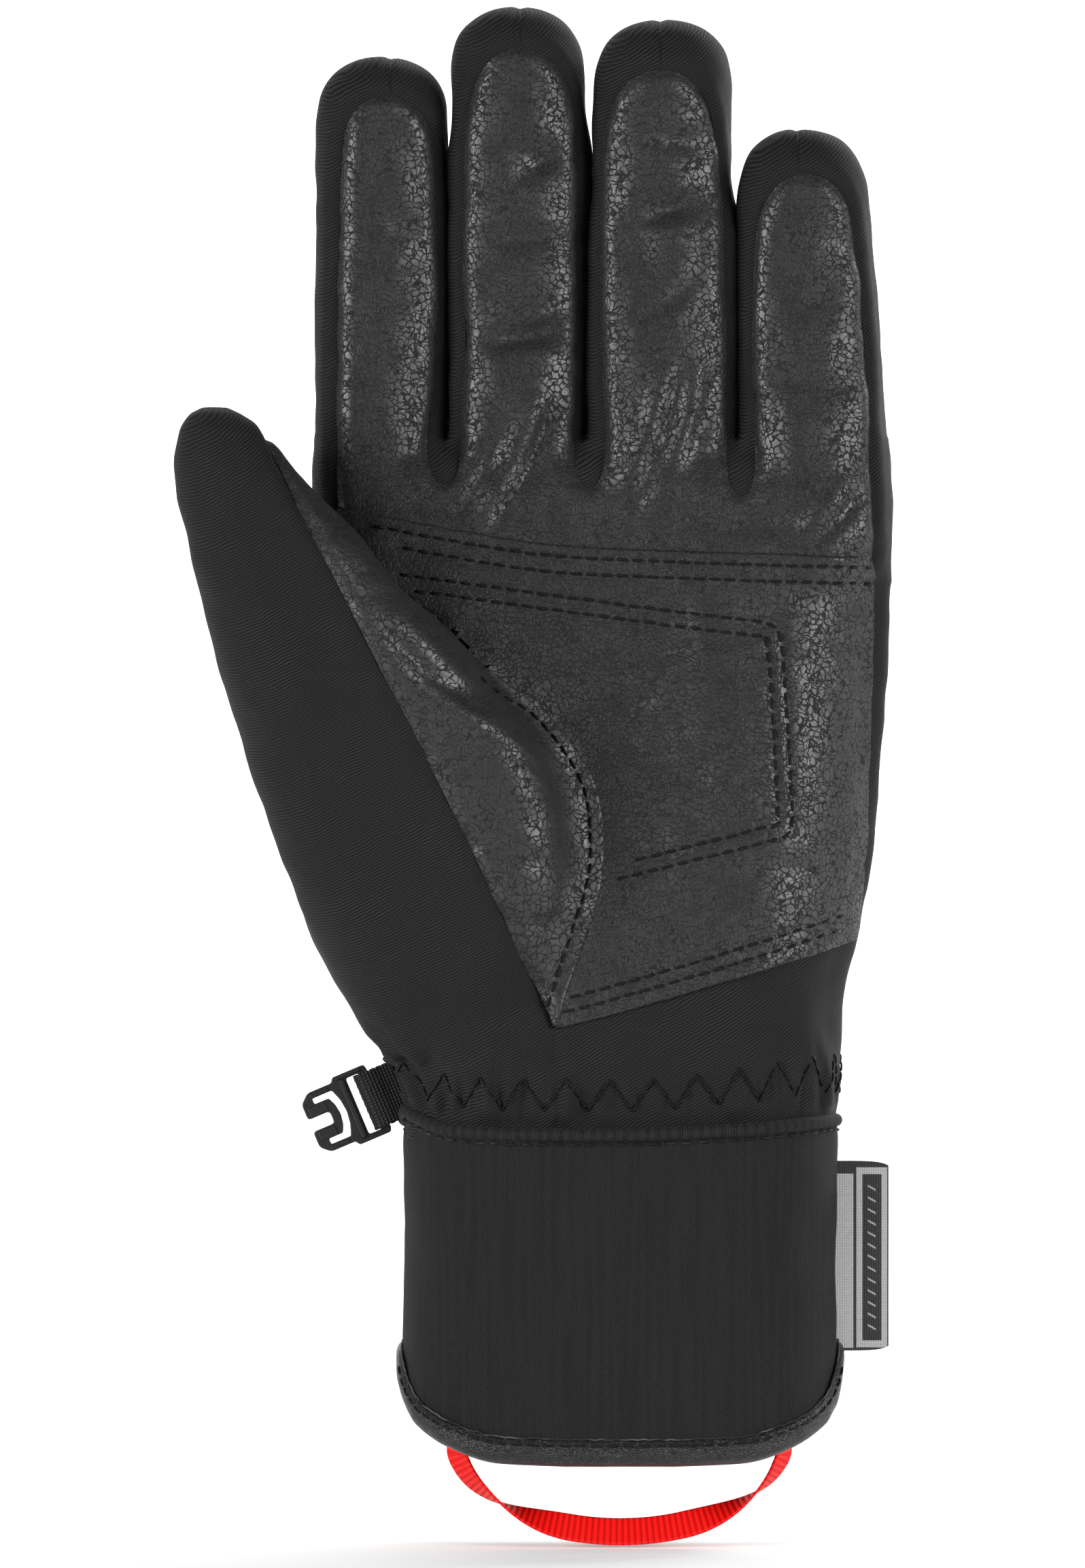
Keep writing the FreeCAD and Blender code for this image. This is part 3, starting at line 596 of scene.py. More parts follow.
# ------------------------------------------------------------------ the seams, in millimetres across and up
THUMB_EDGE = rounded_line([(-12, 56), (-12, 72), (-12.2, 83.1), (-6.9, 100), (-3.5, 111.9), (-4, 125.2),
                           (-7.7, 134), (-15, 142.9), (-22.4, 147.6), (-33, 157.4), (-43.6, 167.6),
                           (-53, 179), (-62, 190)], steps=6)
THUMB_SEAM = rounded_line([(-12.2, 60), (-12.2, 72), (-12.6, 82.6), (-21, 100), (-28.3, 116.3),
                           (-41.6, 142.9), (-54.9, 169.4), (-65.2, 190.8), (-71.5, 203)], steps=6)
CROSS_SEAM = rounded_line([(47.9, 170.6), (30, 170.9), (5, 171.8), (-15, 173), (-35, 176.2),
                           (-53.5, 179.8)], steps=5)
LOW_BORDER = rounded_line([(-12.4, 82.6), (-4, 84.6), (15, 90), (30, 94.6), (45.3, 99.3)], steps=5)
# round each finger and into each gap, from the thumb side
FINGER_LINE = rounded_line([
    (-53.5, 179.8), (-53.7, 192), (-53.6, 215), (-53.4, 240), (-52.2, 251), (-49, 256.3), (-44, 257.9),
    (-39, 256.3), (-35.7, 251), (-34.7, 240), (-34.2, 215), (-35.2, 199), (-36.2, 190.5), (-35.2, 186),
    (-33, 184.6), (-31, 186.3), (-30.2, 191), (-30.1, 199), (-29.9, 215), (-29.8, 244), (-28.6, 257),
    (-24.8, 264.4), (-18.8, 266.8), (-12.8, 264.4), (-9.0, 257), (-7.9, 244), (-7.8, 215), (-8.1, 198),
    (-8.4, 189.6), (-7.6, 185.6), (-5.8, 184.1), (-4, 185.8), (-3.2, 190), (-3.4, 198), (-3.9, 215),
    (-3.9, 240), (-2.7, 253), (1.1, 260.3), (7.6, 262.7), (14.2, 260.3), (18.2, 253), (19.5, 240),
    (20, 215), (20.5, 197), (20.3, 188.6), (21, 184.4), (22.8, 182.5), (24.5, 184.2), (25.2, 188.4),
    (24.9, 197), (24.7, 215), (25.2, 229), (27, 237.4), (30.4, 241.7), (35, 243.1), (39.6, 241.7),
    (43.2, 237), (45, 228), (46.4, 212), (47.4, 196), (47.8, 183), (47.9, 170.6)], steps=5)
UPPER_LEATHER = np.concatenate([FINGER_LINE, CROSS_SEAM[1:-1]])
LOWER_LEATHER = np.concatenate([
    LOW_BORDER, rounded_line([(46.6, 120), (47.5, 145), (47.9, 170.6)], steps=4)[:-1],
    CROSS_SEAM, np.array([(-53.6, 150), (-30, 120), (-20, 92)])])
GRIP_PATCH = np.concatenate([
    rounded_line([(-44, 166.4), (-30, 164.6), (-5, 161.2), (15, 158.6), (27, 157.2)], steps=4),
    rounded_line([(28.6, 156.4), (29.4, 150), (30.3, 135), (31, 121.5)], steps=4),
    rounded_line([(30.4, 119.5), (22, 117.2), (10, 114.2), (-6, 110.2)], steps=4),
    np.array([(-22, 128), (-48, 152)])])
SIDE_LIMIT = -2.5
LEATHER_POINT = 82.7


def flat(p):
    """Points as seen from the palm side: across and up."""
    return p[:, [0, 2]]


def thumb_side(p):
    """Negative on the thumb's own fabric, below the plane where it bends."""
    dist, side = line_distance(flat(p), THUMB_EDGE)
    back = curve_through(p[:, 2], [r[0] for r in THUMB], [r[4] for r in THUMB])
    return np.maximum(-dist * side, np.minimum(p[:, 1] - back - 1.0, p[:, 0] + 58.6))


def thumb_leather(p):
    """Negative on the thumb's leather, among the thumb's fabric."""
    dist, side = line_distance(flat(p), THUMB_SEAM)
    middle = curve_through(p[:, 2], [r[0] for r in THUMB], [(r[3] + r[4]) / 2 for r in THUMB])
    return np.maximum(np.maximum(dist * side, p[:, 1] - middle - 7), LEATHER_POINT - p[:, 2])


def front_shape(p, outline):
    return np.maximum(inside_shape(flat(p), outline), p[:, 1] - SIDE_LIMIT)


# ------------------------------------------------------------------ the glove's cover, cut into its panels
STEP = 1.3 if QUICK else 0.72
SNAP = 0.07  # a point this near a cutting line counts as on it
SAME_PLACE = 0.02
cover = []
for distance, low, high in (
        (hand_distance, (-87, -44, 60.5), (55, 26, 216)),
        (palm_distance, (-64, -30, 120), (55, 26, FREE_FINGERS + 4)),
        (thumb_distance, (-88, -45, 118), (0, 8, 202)),
        (nearest_finger(("index", "ring")), (-64, -20, FREE_FINGERS - 4), (30, 20, 280)),
        (nearest_finger(("middle", "little")), (-38, -20, FREE_FINGERS - 4), (55, 20, 280))):
    v, t = surface_net(distance, low, high, STEP)
    v = settle(distance, v, t)
    cover.append((v, t))


def cut_all(mesh, value, only=None):
    """Cuts the triangles whose label only() picks along the line where value is 0, and keeps the labels."""
    verts, tris, label = mesh
    part = np.ones(len(tris), bool) if only is None else only(label)
    f = value(verts)
    f = np.where(np.abs(f) < SNAP, 0, f)
    s = np.sign(f)[tris]
    mixed = part & (s.min(1) < 0) & (s.max(1) > 0)
    if not mixed.any():
        return mesh
    out_tris, out_label = [tris[~mixed]], [label[~mixed]]
    for k in np.unique(label[mixed]):
        verts, made = split(verts, tris[mixed & (label == k)], f)
        f = np.concatenate([f, np.zeros(len(verts) - len(f))])
        out_tris.append(made)
        out_label.append(np.full(len(made), k))
    return verts, np.concatenate(out_tris), np.concatenate(out_label)


# labels: 0 hand where thumb and palm are one, 1 palm, 2 free thumb, 3 and 4 free fingers
mesh = (*joined(cover), np.repeat(np.arange(len(cover)), [len(t) for v, t in cover]))
mesh = cut_all(mesh, above_fold)
centre = mesh[0][mesh[1]].mean(1)
keep = (mesh[2] > 2) | ((above_fold(centre) < 0) == (mesh[2] == 0))
mesh = (mesh[0], mesh[1][keep], mesh[2][keep])
mesh = cut_all(mesh, lambda p: p[:, 2] - FREE_FINGERS, lambda k: k != 2)
centre = mesh[0][mesh[1]].mean(1)
free = centre[:, 2] > FREE_FINGERS
keep = (mesh[2] == 2) | (free & (mesh[2] > 2)) | (~free & (mesh[2] < 2))
mesh = (mesh[0], mesh[1][keep], np.where(mesh[2][keep] > 2, 1, mesh[2][keep]))
mesh = cut_all(mesh, thumb_side, lambda k: k == 0)
centre = mesh[0][mesh[1]].mean(1)
PALM_GROUP, THUMB_GROUP = 1, 2
group = np.where(mesh[2] == 0, np.where(thumb_side(centre) < 0, THUMB_GROUP, PALM_GROUP), mesh[2])
mesh = (mesh[0], mesh[1], group)
mesh = cut_all(mesh, thumb_leather, lambda k: k == THUMB_GROUP)
for outline in (GRIP_PATCH, LOWER_LEATHER, UPPER_LEATHER):
    mesh = cut_all(mesh, lambda p, o=outline: front_shape(p, o), lambda k: k == PALM_GROUP)
mesh = cut_all(mesh, lambda p: p[:, 2] - CROTCH, lambda k: k == PALM_GROUP)
GAPS = (-32.3, -5.6, 23.3)


def finger_of(p):
    """Which finger each point above the crotches belongs to, 0 to 3."""
    return sum((p[:, 0] > g).astype(int) for g in GAPS)


SPLIT_LEVEL = {"index": 208.5, "middle": 211.0, "ring": 210.0, "little": 206.5}


def finger_split(p):
    return p[:, 2] - np.array([SPLIT_LEVEL[n] for n in FINGER_NAMES])[finger_of(p)]


mesh = cut_all(mesh, finger_split, lambda k: k == PALM_GROUP)
verts, tris = mesh[0], mesh[1]
order = np.argsort(mesh[2], kind="stable")
tris, group = tris[order], mesh[2][order]
key = np.round(verts / SAME_PLACE).astype(np.int64)
_, first, back = np.unique(key, axis=0, return_index=True, return_inverse=True)
tris = back.reshape(-1)[tris]
verts = verts[first]
good = (tris[:, 0] != tris[:, 1]) & (tris[:, 1] != tris[:, 2]) & (tris[:, 2] != tris[:, 0])
tris, group = tris[good], group[good]
centre = verts[tris].mean(1)

THUMB_SOFT, THUMB_LEATHER, PATCH, LOWER, UPPER, SOFT = range(6)
kind = np.where(group == THUMB_GROUP, np.where(thumb_leather(centre) < 0, THUMB_LEATHER, THUMB_SOFT),
                np.where(front_shape(centre, GRIP_PATCH) < 0, PATCH,
                         np.where(front_shape(centre, LOWER_LEATHER) < 0, LOWER,
                                  np.where(front_shape(centre, UPPER_LEATHER) < 0, UPPER, SOFT))))


# ------------------------------------------------------------------ relief: seams, folds, gathers
def shared_points(a, b):
    """Places where panels of kinds a meet panels of kinds b."""
    in_a, in_b = np.zeros(len(verts), bool), np.zeros(len(verts), bool)
    in_a[tris[np.isin(kind, a)].ravel()] = True
    in_b[tris[np.isin(kind, b)].ravel()] = True
    return np.flatnonzero(in_a & in_b)


def nearness(p, indices, reach):
    """Distance of points p from the nearest of those places, up to reach."""
    out = np.full(len(p), float(reach))
    at = verts[indices]
    grid = {}  # the places by cells as wide as the reach
    for i, k in enumerate(map(tuple, np.floor(at / reach).astype(int))):
        grid.setdefault(k, []).append(i)
    unique, back = np.unique(np.floor(p / reach).astype(int), axis=0, return_inverse=True)
    back = back.reshape(-1)
    order = np.argsort(back, kind="stable")
    starts = np.searchsorted(back[order], np.arange(len(unique) + 1))
    for u, k in enumerate(unique):
        near = [i for d in np.ndindex(3, 3, 3) for i in grid.get(tuple(k + np.array(d) - 1), ())]
        if not near:
            continue
        rows = order[starts[u]:starts[u + 1]]
        for part in np.split(rows, range(4000, len(rows), 4000)):
            d = ((p[part][:, None] - at[near][None]) ** 2).sum(-1).min(1)
            out[part] = np.minimum(out[part], np.sqrt(d))
    return out


LEATHERS = [THUMB_LEATHER, PATCH, LOWER, UPPER]
at_groove = np.unique(np.concatenate([
    shared_points([UPPER], [SOFT]), shared_points([THUMB_LEATHER], [THUMB_SOFT]),
    shared_points([THUMB_SOFT], [SOFT])]))
at_fold = np.unique(np.concatenate([shared_points([LOWER], [UPPER]), shared_points([LOWER], [SOFT])]))
at_thumb = shared_points([THUMB_LEATHER], [PATCH, LOWER, UPPER, SOFT])
# the thumb's leather lies with a rolled edge on the palm, up to where the thumb stands free
ROLL_ENDS = 149.0
at_roll = at_thumb[verts[at_thumb][:, 2] < ROLL_ENDS]


def seam_level(x, y):
    """How high the cuff seam runs: it dips across the palm side and climbs at the thumb side."""
    front = curve_through(np.asarray(x, float), [-41, -38, -33, -20, 0, 20, 34, 41],
                          [68.4, 66.2, 64.4, 63.5, 63.4, 64.2, 65.3, 66.0])
    w = smooth(6, -12, np.asarray(y, float))
    return front * w + 65.4 * (1 - w)


# broad dents where the leather has been flexed: across, up, depth, half width, half height
DENTS = [(-2, 138, 4.0, 18, 30), (-16, 246.5, 1.8, 6, 3.1), (-17.5, 213.2, 1.8, 7, 2.5),
         (-17.5, 231.5, 1.3, 6, 2.4), (-23, 222, 0.6, 4, 4), (9.5, 237, 1.8, 6, 2.9),
         (4, 229, 1.1, 3.6, 4), (11, 249.5, 1.2, 6, 2.5),
         (10, 222, 0.35, 5, 4), (-41, 233, 0.6, 5, 4), (-42, 221, 0.4, 5, 3), (-40, 205, 0.4, 5, 5),
         (38, 219, 0.6, 5, 3.5), (33, 206, 0.4, 6, 2.6), (41, 230, 0.4, 4, 4), (28, 177.5, 1.3, 10, 3.5),
         (33, 193, -0.5, 5, 4), (-34, 181, 0.9, 6, 3), (0, 180, 0.8, 6, 5)]
# broad folds: from, to, share of the full depth
FOLD_DEPTH = 1.35
CREASES = [((-24, 176), (-12, 201), 1.0), ((-31, 178), (-22, 196), 0.5), ((3, 181), (12, 207), 1.0),
           ((13, 188), (18, 210), 0.5), ((36, 173), (46, 184), 0.7), ((-26, 211), (-10, 215), 0.6),
           ((-25, 239), (-11, 248), 0.4), ((1, 233), (16, 240), 0.5), ((0, 214), (15, 224), 0.35),
           ((-52, 228), (-37, 226), 0.35), ((27, 205), (44, 203), 0.4), ((-34, 120), (-10, 112), 0.3),
           ((-31, 104), (-8, 102), 0.3), ((-40, 142), (-14, 132), 0.5), ((-46, 158), (-24, 142), 0.6),
           ((30, 112), (45, 116), 0.25), ((-14, 153), (24, 156), 0.35), ((-12, 143), (20, 149), 0.3)]
# the short seam that closes the softshell over each fingertip: across, from, to
TIP_SEAMS = [(-43.4, 258.6, 264.6), (-18.9, 267.6, 274.4), (7.6, 263.6, 272.2), (33.6, 243.9, 251.2)]


def relief(p, of_kind):
    """How far each point of the cover stands off its plain form."""
    x, y, z = p.T
    leather = of_kind in LEATHERS
    off = 0.5 * noise(p, 19, 1) + 0.28 * noise(p * (1, 1, 1.5), 8.5, 2)
    if leather:
        off = off + 0.16 * (0.6 - np.abs(noise(p * (1, 1, 1.7), 5.2, 3))) + 0.1 * noise(p, 3.4, 4)
        off += 0.35 * noise(p, 12, 10)
    else:
        off *= 0.8
    front = smooth(4, -4, y)
    for cx, cz, depth, wide, tall in DENTS:
        off -= front * depth * np.exp(-(((x - cx) / wide) ** 2 + ((z - cz) / tall) ** 2))
    for a, b, depth in CREASES:
        a, b = np.array(a, float), np.array(b, float)
        dist, side = line_distance(flat(p), np.array([a, (a + b) / 2 + (b - a)[::-1] * (0.05, -0.05), b]))
        along = ((flat(p) - a) @ (b - a)) / ((b - a) @ (b - a))
        ends = smooth(-0.15, 0.3, along) * smooth(1.15, 0.7, along)
        fold = FOLD_DEPTH * (0.6 * bell(dist * side - 3.2, 2.2) - bell(dist, 1.8))
        off += front * ends * depth * fold
    if of_kind == SOFT:
        for sx, low, _ in TIP_SEAMS:
            d = np.abs(x - sx - FINGER_SHEAR * y)
            off -= 0.4 * bell(d, 0.8) * smooth(low - 1, low + 1, z) * smooth(9, 3, y)
    # seams turned to the inside pull both panels in
    d = nearness(p, at_groove, 6)
    off = off - 0.62 * bell(d, 0.95) + 0.22 * bell(d - 3, 1.6)
    off += 0.16 * noise(p, 2.6, 8) * bell(d, 2.4)
    if of_kind in (LOWER, PATCH):
        off += 0.6 * smooth(47.5, 42.5, x)
    if of_kind == PATCH:
        off += 0.12
    if of_kind == THUMB_LEATHER:
        d = nearness(p, at_thumb, 8)
        off += 0.95 * smooth(8, 1.5, d)
    if of_kind == SOFT:
        d = nearness(p, at_fold, 5)
        off -= 0.25 * smooth(4, 0, d)
    # gathers above the cuff seam, deeper on the thumb side
    level = seam_level(x, y)
    up = z - level
    strong = 0.55 + 0.75 * smooth(5, -35, x)
    folds = noise(p * (1.0, 1.0, 0.22), 4.4, 5) + 0.6 * noise(p * (1, 1, 0.3), 2.6, 6)
    off += strong * 1.75 * folds * bell(up - 4, 7) * smooth(-1, 3, up)
    valley = bell(noise(p * (1, 1, 0.12), 6.5, 12), 0.1)
    off -= strong * 0.85 * valley * bell(up - 4, 6) * smooth(-1, 2, up)
    off += strong * 0.5 * noise(p * (1, 1, 0.55), 9, 9) * smooth(26, 8, up)
    off -= 0.35 * bell(np.maximum(up, 0), 2.2)
    off += 0.3 * strong * bell(up - 14, 6.5)
    # stitch rows pull the leather down a little
    if leather:
        for row in ([THUMB_ROW] if of_kind == THUMB_LEATHER else ROWS_ON_PALM):
            dist, _ = line_distance(flat(p), row)
            off -= 0.2 * bell(dist, 0.7) * front
    return off


def offset_line(line, by):
    """The line moved sideways, to the left of its direction if by is positive."""
    return line + unit(np.gradient(line, axis=0))[:, ::-1] * (-by, by)


THUMB_ROW_FROM, THUMB_ROW_TO = 85.5, 150
THUMB_ROW = offset_line(THUMB_EDGE, 2.3)
THUMB_ROW = THUMB_ROW[(THUMB_ROW[:, 1] >= THUMB_ROW_FROM) & (THUMB_ROW[:, 1] <= THUMB_ROW_TO)]
PALM_ROWS_STOP = 0.6  # short of the thumb's edge


def off_thumb(row):
    """The part of a row on the palm that the thumb's edge leaves open."""
    dist, side = line_distance(row, THUMB_EDGE)
    return row[dist * side < -PALM_ROWS_STOP]


CROSS_ROWS = [off_thumb(offset_line(CROSS_SEAM, by)[:-1]) for by in (1.7, 4.7)]
LOW_ROWS = [off_thumb(offset_line(LOW_BORDER, by)) for by in (2.3, 4.7)]
GRIP_ROWS = [off_thumb(offset_line(GRIP_PATCH[:-2], by)) for by in (-1.35, 1.35)]
ROWS_ON_PALM = [*CROSS_ROWS, *LOW_ROWS, *GRIP_ROWS]


# how a panel's edge turns over: outward, and off the surface
ROLLED = [(0.28, -0.10), (0.50, -0.42), (0.48, -0.95), (0.10, -1.5)]
TURNED_IN = [(0.0, -0.15), (0.0, -0.4), (-0.05, -0.8), (-0.1, -1.3)]


def raised_panel(kinds, rolled_at):
    """One continuous panel, in relief and with a turned edge all round: points, faces, pieces, normals."""
    mine = np.isin(kind, kinds)
    keep, t = used(tris[mine])
    p = verts[keep]
    n = base_normals[keep]
    off = np.zeros(len(p))
    for k in kinds:
        at = np.zeros(len(p), bool)
        at[t[kind[mine] == k].ravel()] = True
        off[at] = relief(p[at], k)
    p = p + n * off[:, None]
    owner = piece_number[mine]
    # edges with one face only
    half, who = edges_of(t), np.tile(owner, 3)
    alone = ~np.isin(half @ (len(p), 1), half @ (1, len(p)))
    edge, edge_owner = half[alone], who[alone]
    main = vertex_normals(p, t)
    d = p[edge[:, 1]] - p[edge[:, 0]]
    out_dir = unit(np.cross(d, (main[edge[:, 0]] + main[edge[:, 1]]) / 2))
    out = summed(edge.T.ravel(), np.tile(out_dir, (2, 1)), len(p))
    rim, back = np.unique(edge, return_inverse=True)
    back = back.reshape(edge.shape)
    out = unit(out[rim])
    is_rolled = np.isin(keep[rim], rolled_at)
    rolled = is_rolled.astype(float)[:, None]
    rings, faces, owners = [p], [t], [owner]
    previous = rim
    start = len(p)
    for roll_step, turn_step in zip(ROLLED, TURNED_IN):
        o, h = (a * rolled + b * (1 - rolled) for a, b in zip(roll_step, turn_step))
        rings.append(p[rim] + out * o + main[rim] * h)
        current = np.arange(len(rim)) + start
        a, b = previous[back[:, 0]], previous[back[:, 1]]
        c, e = current[back[:, 0]], current[back[:, 1]]
        faces += [np.stack([a, c, e], 1), np.stack([a, e, b], 1)]
        owners += [edge_owner, edge_owner]
        previous = current
        start += len(rim)
    v, f = np.concatenate(rings), np.concatenate(faces)
    full = vertex_normals(v, f)
    quiet = rim[~is_rolled]
    full[quiet] = main[quiet]
    return v, f, np.concatenate(owners), full


# which piece each triangle belongs to
PIECE_NAMES = ["back_softshell_panel", "thumb_softshell_panel", "thumb_leather_panel",
               "palm_leather_upper_panel", "palm_leather_lower_panel", "palm_grip_panel"]
for name in FINGER_NAMES:
    PIECE_NAMES += [f"{name}_base_softshell_panel", f"{name}_base_leather_panel",
                    f"{name}_tip_softshell_panel", f"{name}_tip_leather_panel"]
piece_number = np.full(len(kind), PIECE_NAMES.index("palm_grip_panel"))
for number, k in enumerate((SOFT, THUMB_SOFT, THUMB_LEATHER, UPPER, LOWER)):
    piece_number[kind == k] = number
fingers_here = np.isin(kind, [SOFT, UPPER]) & (centre[:, 2] > CROTCH)
on_finger = 6 + 4 * finger_of(centre) + (kind == UPPER) + 2 * (finger_split(centre) > 0)
piece_number = np.where(fingers_here, on_finger, piece_number)
base_normals = vertex_normals(verts, tris)

cover_points, cover_faces = [], []
panel_objects = {}
for kinds, rolled_at in (([SOFT, THUMB_SOFT], ()), ([UPPER], ()), ([LOWER], at_fold), ([PATCH], ()),
                         ([THUMB_LEATHER], at_roll)):
    v, f, owner, normals = raised_panel(kinds, rolled_at)
    cover_faces.append(f + sum(len(c) for c in cover_points))
    cover_points.append(v)
    for number in np.unique(owner):
        keep, t = used(f[owner == number])
        panel_objects[PIECE_NAMES[number]] = new_object(PIECE_NAMES[number], v[keep], t, normals[keep])
IN_FRONT = -70.0
surface = BVHTree.FromPolygons([tuple(q) for q in np.concatenate(cover_points)],
                               [tuple(q) for q in np.concatenate(cover_faces)])


def struck(start, towards):
    """Where a straight line first meets the cover, with the normal there; None where it misses."""
    hit, normal, _, _ = surface.ray_cast(Vector(start), Vector(towards))
    return None if hit is None else (np.array(hit), np.array(normal))


def on_surface(points):
    """Places on the cover for points seen from the palm side."""
    return [struck((x, IN_FRONT, z), (0, 1, 0)) for x, z in points]


def even_points(line, pitch):
    """Points along a 2-D line, pitch apart."""
    s = lengths_along(line)
    at = np.arange(0, s[-1], pitch)
    return np.stack([np.interp(at, s, line[:, 0]), np.interp(at, s, line[:, 1])], 1)


STITCH_PITCH, STITCH_LONG, THREAD = 2.9, 1.8, 0.27
LONGEST_STITCH = 4.0  # more than this from hole to hole and the row has left the surface
thread_rng = np.random.default_rng(21)


def stitches(rows, project=on_surface, pitch=STITCH_PITCH, long=STITCH_LONG, thread=THREAD):
    """Rows of short threads, each rising out of one hole and diving into the next."""
    parts = []
    for row in rows:
        # four places to each stitch: its ends are the first and the last
        hits = project(even_points(row, pitch / 4))
        for i in range(0, len(hits) - 4, 4):
            four = hits[i:i + 4]
            if any(h is None for h in four) or np.linalg.norm(four[0][0] - four[3][0]) > LONGEST_STITCH:
                continue
            a, b = four[0][0], four[3][0]
            middle_n = unit(four[1][1] + four[2][1])
            wander = thread_rng.normal(size=3) * 0.06
            d = unit(b - a, 1e-6)
            mid = (four[1][0] + four[2][0]) / 2 + middle_n * 0.2 + wander * 0.5
            a, b = mid - d * long / 2, mid + d * long / 2
            path = [a - middle_n * 0.55, a - middle_n * 0.05 + d * 0.12,
                    mid - d * long * 0.2 + middle_n * 0.05, mid + d * long * 0.2 + middle_n * 0.05,
                    b - middle_n * 0.05 - d * 0.12, b - middle_n * 0.55]
            parts.append(polyline_tube(path, thread * thread_rng.uniform(0.9, 1.1), 6, [middle_n] * 6))
    return joined(parts)


def thread_object(name, data, body):
    obj = new_object(name, *data)
    threads.append(obj)
    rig.ride(obj, body)
    return obj


threads = []
for name, seam_rows in (("cross_seam", CROSS_ROWS), ("palm_border", LOW_ROWS), ("grip_patch", GRIP_ROWS),
                        ("thumb_seam", [THUMB_ROW])):
    thread_object(f"{name}_stitching", stitches(seam_rows), "hand")
# a thin line of needle holes and thread drawn tight into the seam over each fingertip
for name, (sx, low, high) in zip(FINGER_NAMES, TIP_SEAMS):
    hits = on_surface([(sx, z) for z in np.linspace(low - 0.4, high, 14)])
    places, normals = map(np.array, zip(*[h for h in hits if h is not None]))
    thread_object(f"{name}_tip_seam", polyline_tube(places - normals * 0.05, 0.16, 5, normals),
                  f"{name}_tip")


# ------------------------------------------------------------------ the cuff, by distance round it
CUFF_X, CUFF_Y, CUFF_CORNER = 41.0, 24.0, 22.5


def cuff_outline():
    """The cuff's outline from its thumb side, round the palm side and back, evenly spaced."""
    cx, cy = CUFF_X - CUFF_CORNER, CUFF_Y - CUFF_CORNER
    out = []
    for sx, sy, start in ((-1, -1, 180), (1, -1, 270), (1, 1, 0), (-1, 1, 90)):
        for a in np.radians(np.linspace(start, start + 90, 60)):
            out.append((sx * cx + CUFF_CORNER * math.cos(a), sy * cy + CUFF_CORNER * math.sin(a)))
    out = np.array([(-CUFF_X, 0), *out, (-CUFF_X, 0)])
    return out, lengths_along(out)


OUTLINE, OUTLINE_AT = cuff_outline()
AROUND = OUTLINE_AT[-1]


def round_cuff(s, out=0.0):
    """Place (x, y) and outward direction at distance s round the cuff."""
    s = np.asarray(s, float) % AROUND
    p = np.stack([np.interp(s, OUTLINE_AT, OUTLINE[:, k]) for k in (0, 1)], -1)
    centre = np.stack([np.clip(p[..., 0], CUFF_CORNER - CUFF_X, CUFF_X - CUFF_CORNER),
                       np.clip(p[..., 1], CUFF_CORNER - CUFF_Y, CUFF_Y - CUFF_CORNER)], -1)
    n = unit(p - centre)
    return p + n * np.asarray(out, float)[..., None], n


def hem_level(s):
    """The hem hangs low in front and behind and is notched at both sides."""
    s = np.asarray(s, float) % (AROUND / 2)
    d = np.minimum(s, AROUND / 2 - s)
    return curve_through(d, [0, 1.5, 3, 6, 9, 14, 22.4, 32, 45],
                         [17.6, 17.1, 15.6, 12.2, 9.5, 6.3, 3, 0.6, 0])


def at_cuff(s, z, out):
    """Places and outward directions at distances s round the cuff, at levels z."""
    p, n = round_cuff(s, out)
    return (np.concatenate([p, np.asarray(z, float)[..., None]], -1),
            np.concatenate([n, np.zeros(n.shape[:-1] + (1,))], -1))


def cuff_relief(s, z):
    """How far the knitted cuff stands off its plain outline."""
    p, _ = at_cuff(s, z, 0)
    flat_p = p.reshape(-1, 3)
    off = 0.45 * noise(flat_p * (1, 1, 0.7), 22, 31) + 0.22 * noise(flat_p, 9, 32)
    off = off.reshape(np.shape(z))
    top = seam_level(p[..., 0], p[..., 1])
    off -= 0.4 * bell(top - z, 2.5)
    puckers = noise(flat_p * (1, 1, 0.25), 3.2, 33).reshape(np.shape(z))
    off += 0.16 * puckers * bell(top - 3 - z, 5)
    side = np.minimum(s % (AROUND / 2), AROUND / 2 - s % (AROUND / 2))
    return off - 0.75 * bell(side, 1.1)


def sheet(along, across):
    """Places in a piece of cloth laid flat."""
    return np.stack(np.broadcast_arrays(along, across, 0.0), -1)


def grid_faces(rows, columns, closed=False):
    i = np.arange(rows - 1)[:, None]
    j = np.arange(columns if closed else columns - 1)[None]
    k = (j + 1) % columns
    return np.stack([i * columns + j, i * columns + k, (i + 1) * columns + k, (i + 1) * columns + j],
                    -1).reshape(-1, 4)


def shell_between(outer, inner, rest_outer, rest_inner):
    """A closed shell from two grids of points, rows by columns, with walls round the edge."""
    r, c = outer.shape[:2]
    n = r * c
    faces = [grid_faces(r, c), grid_faces(r, c)[:, ::-1] + n]
    loop = np.concatenate([np.arange(c), np.arange(1, r) * c + c - 1, (r - 1) * c + np.arange(c - 2, -1, -1),
                           np.arange(r - 2, 0, -1) * c])
    nxt = np.roll(loop, -1)
    faces.append(np.stack([nxt, loop, loop + n, nxt + n], 1))
    v = np.concatenate([outer.reshape(-1, 3), inner.reshape(-1, 3)])
    rest = np.concatenate([rest_outer.reshape(-1, 3), rest_inner.reshape(-1, 3)])
    return v, np.concatenate(faces), rest


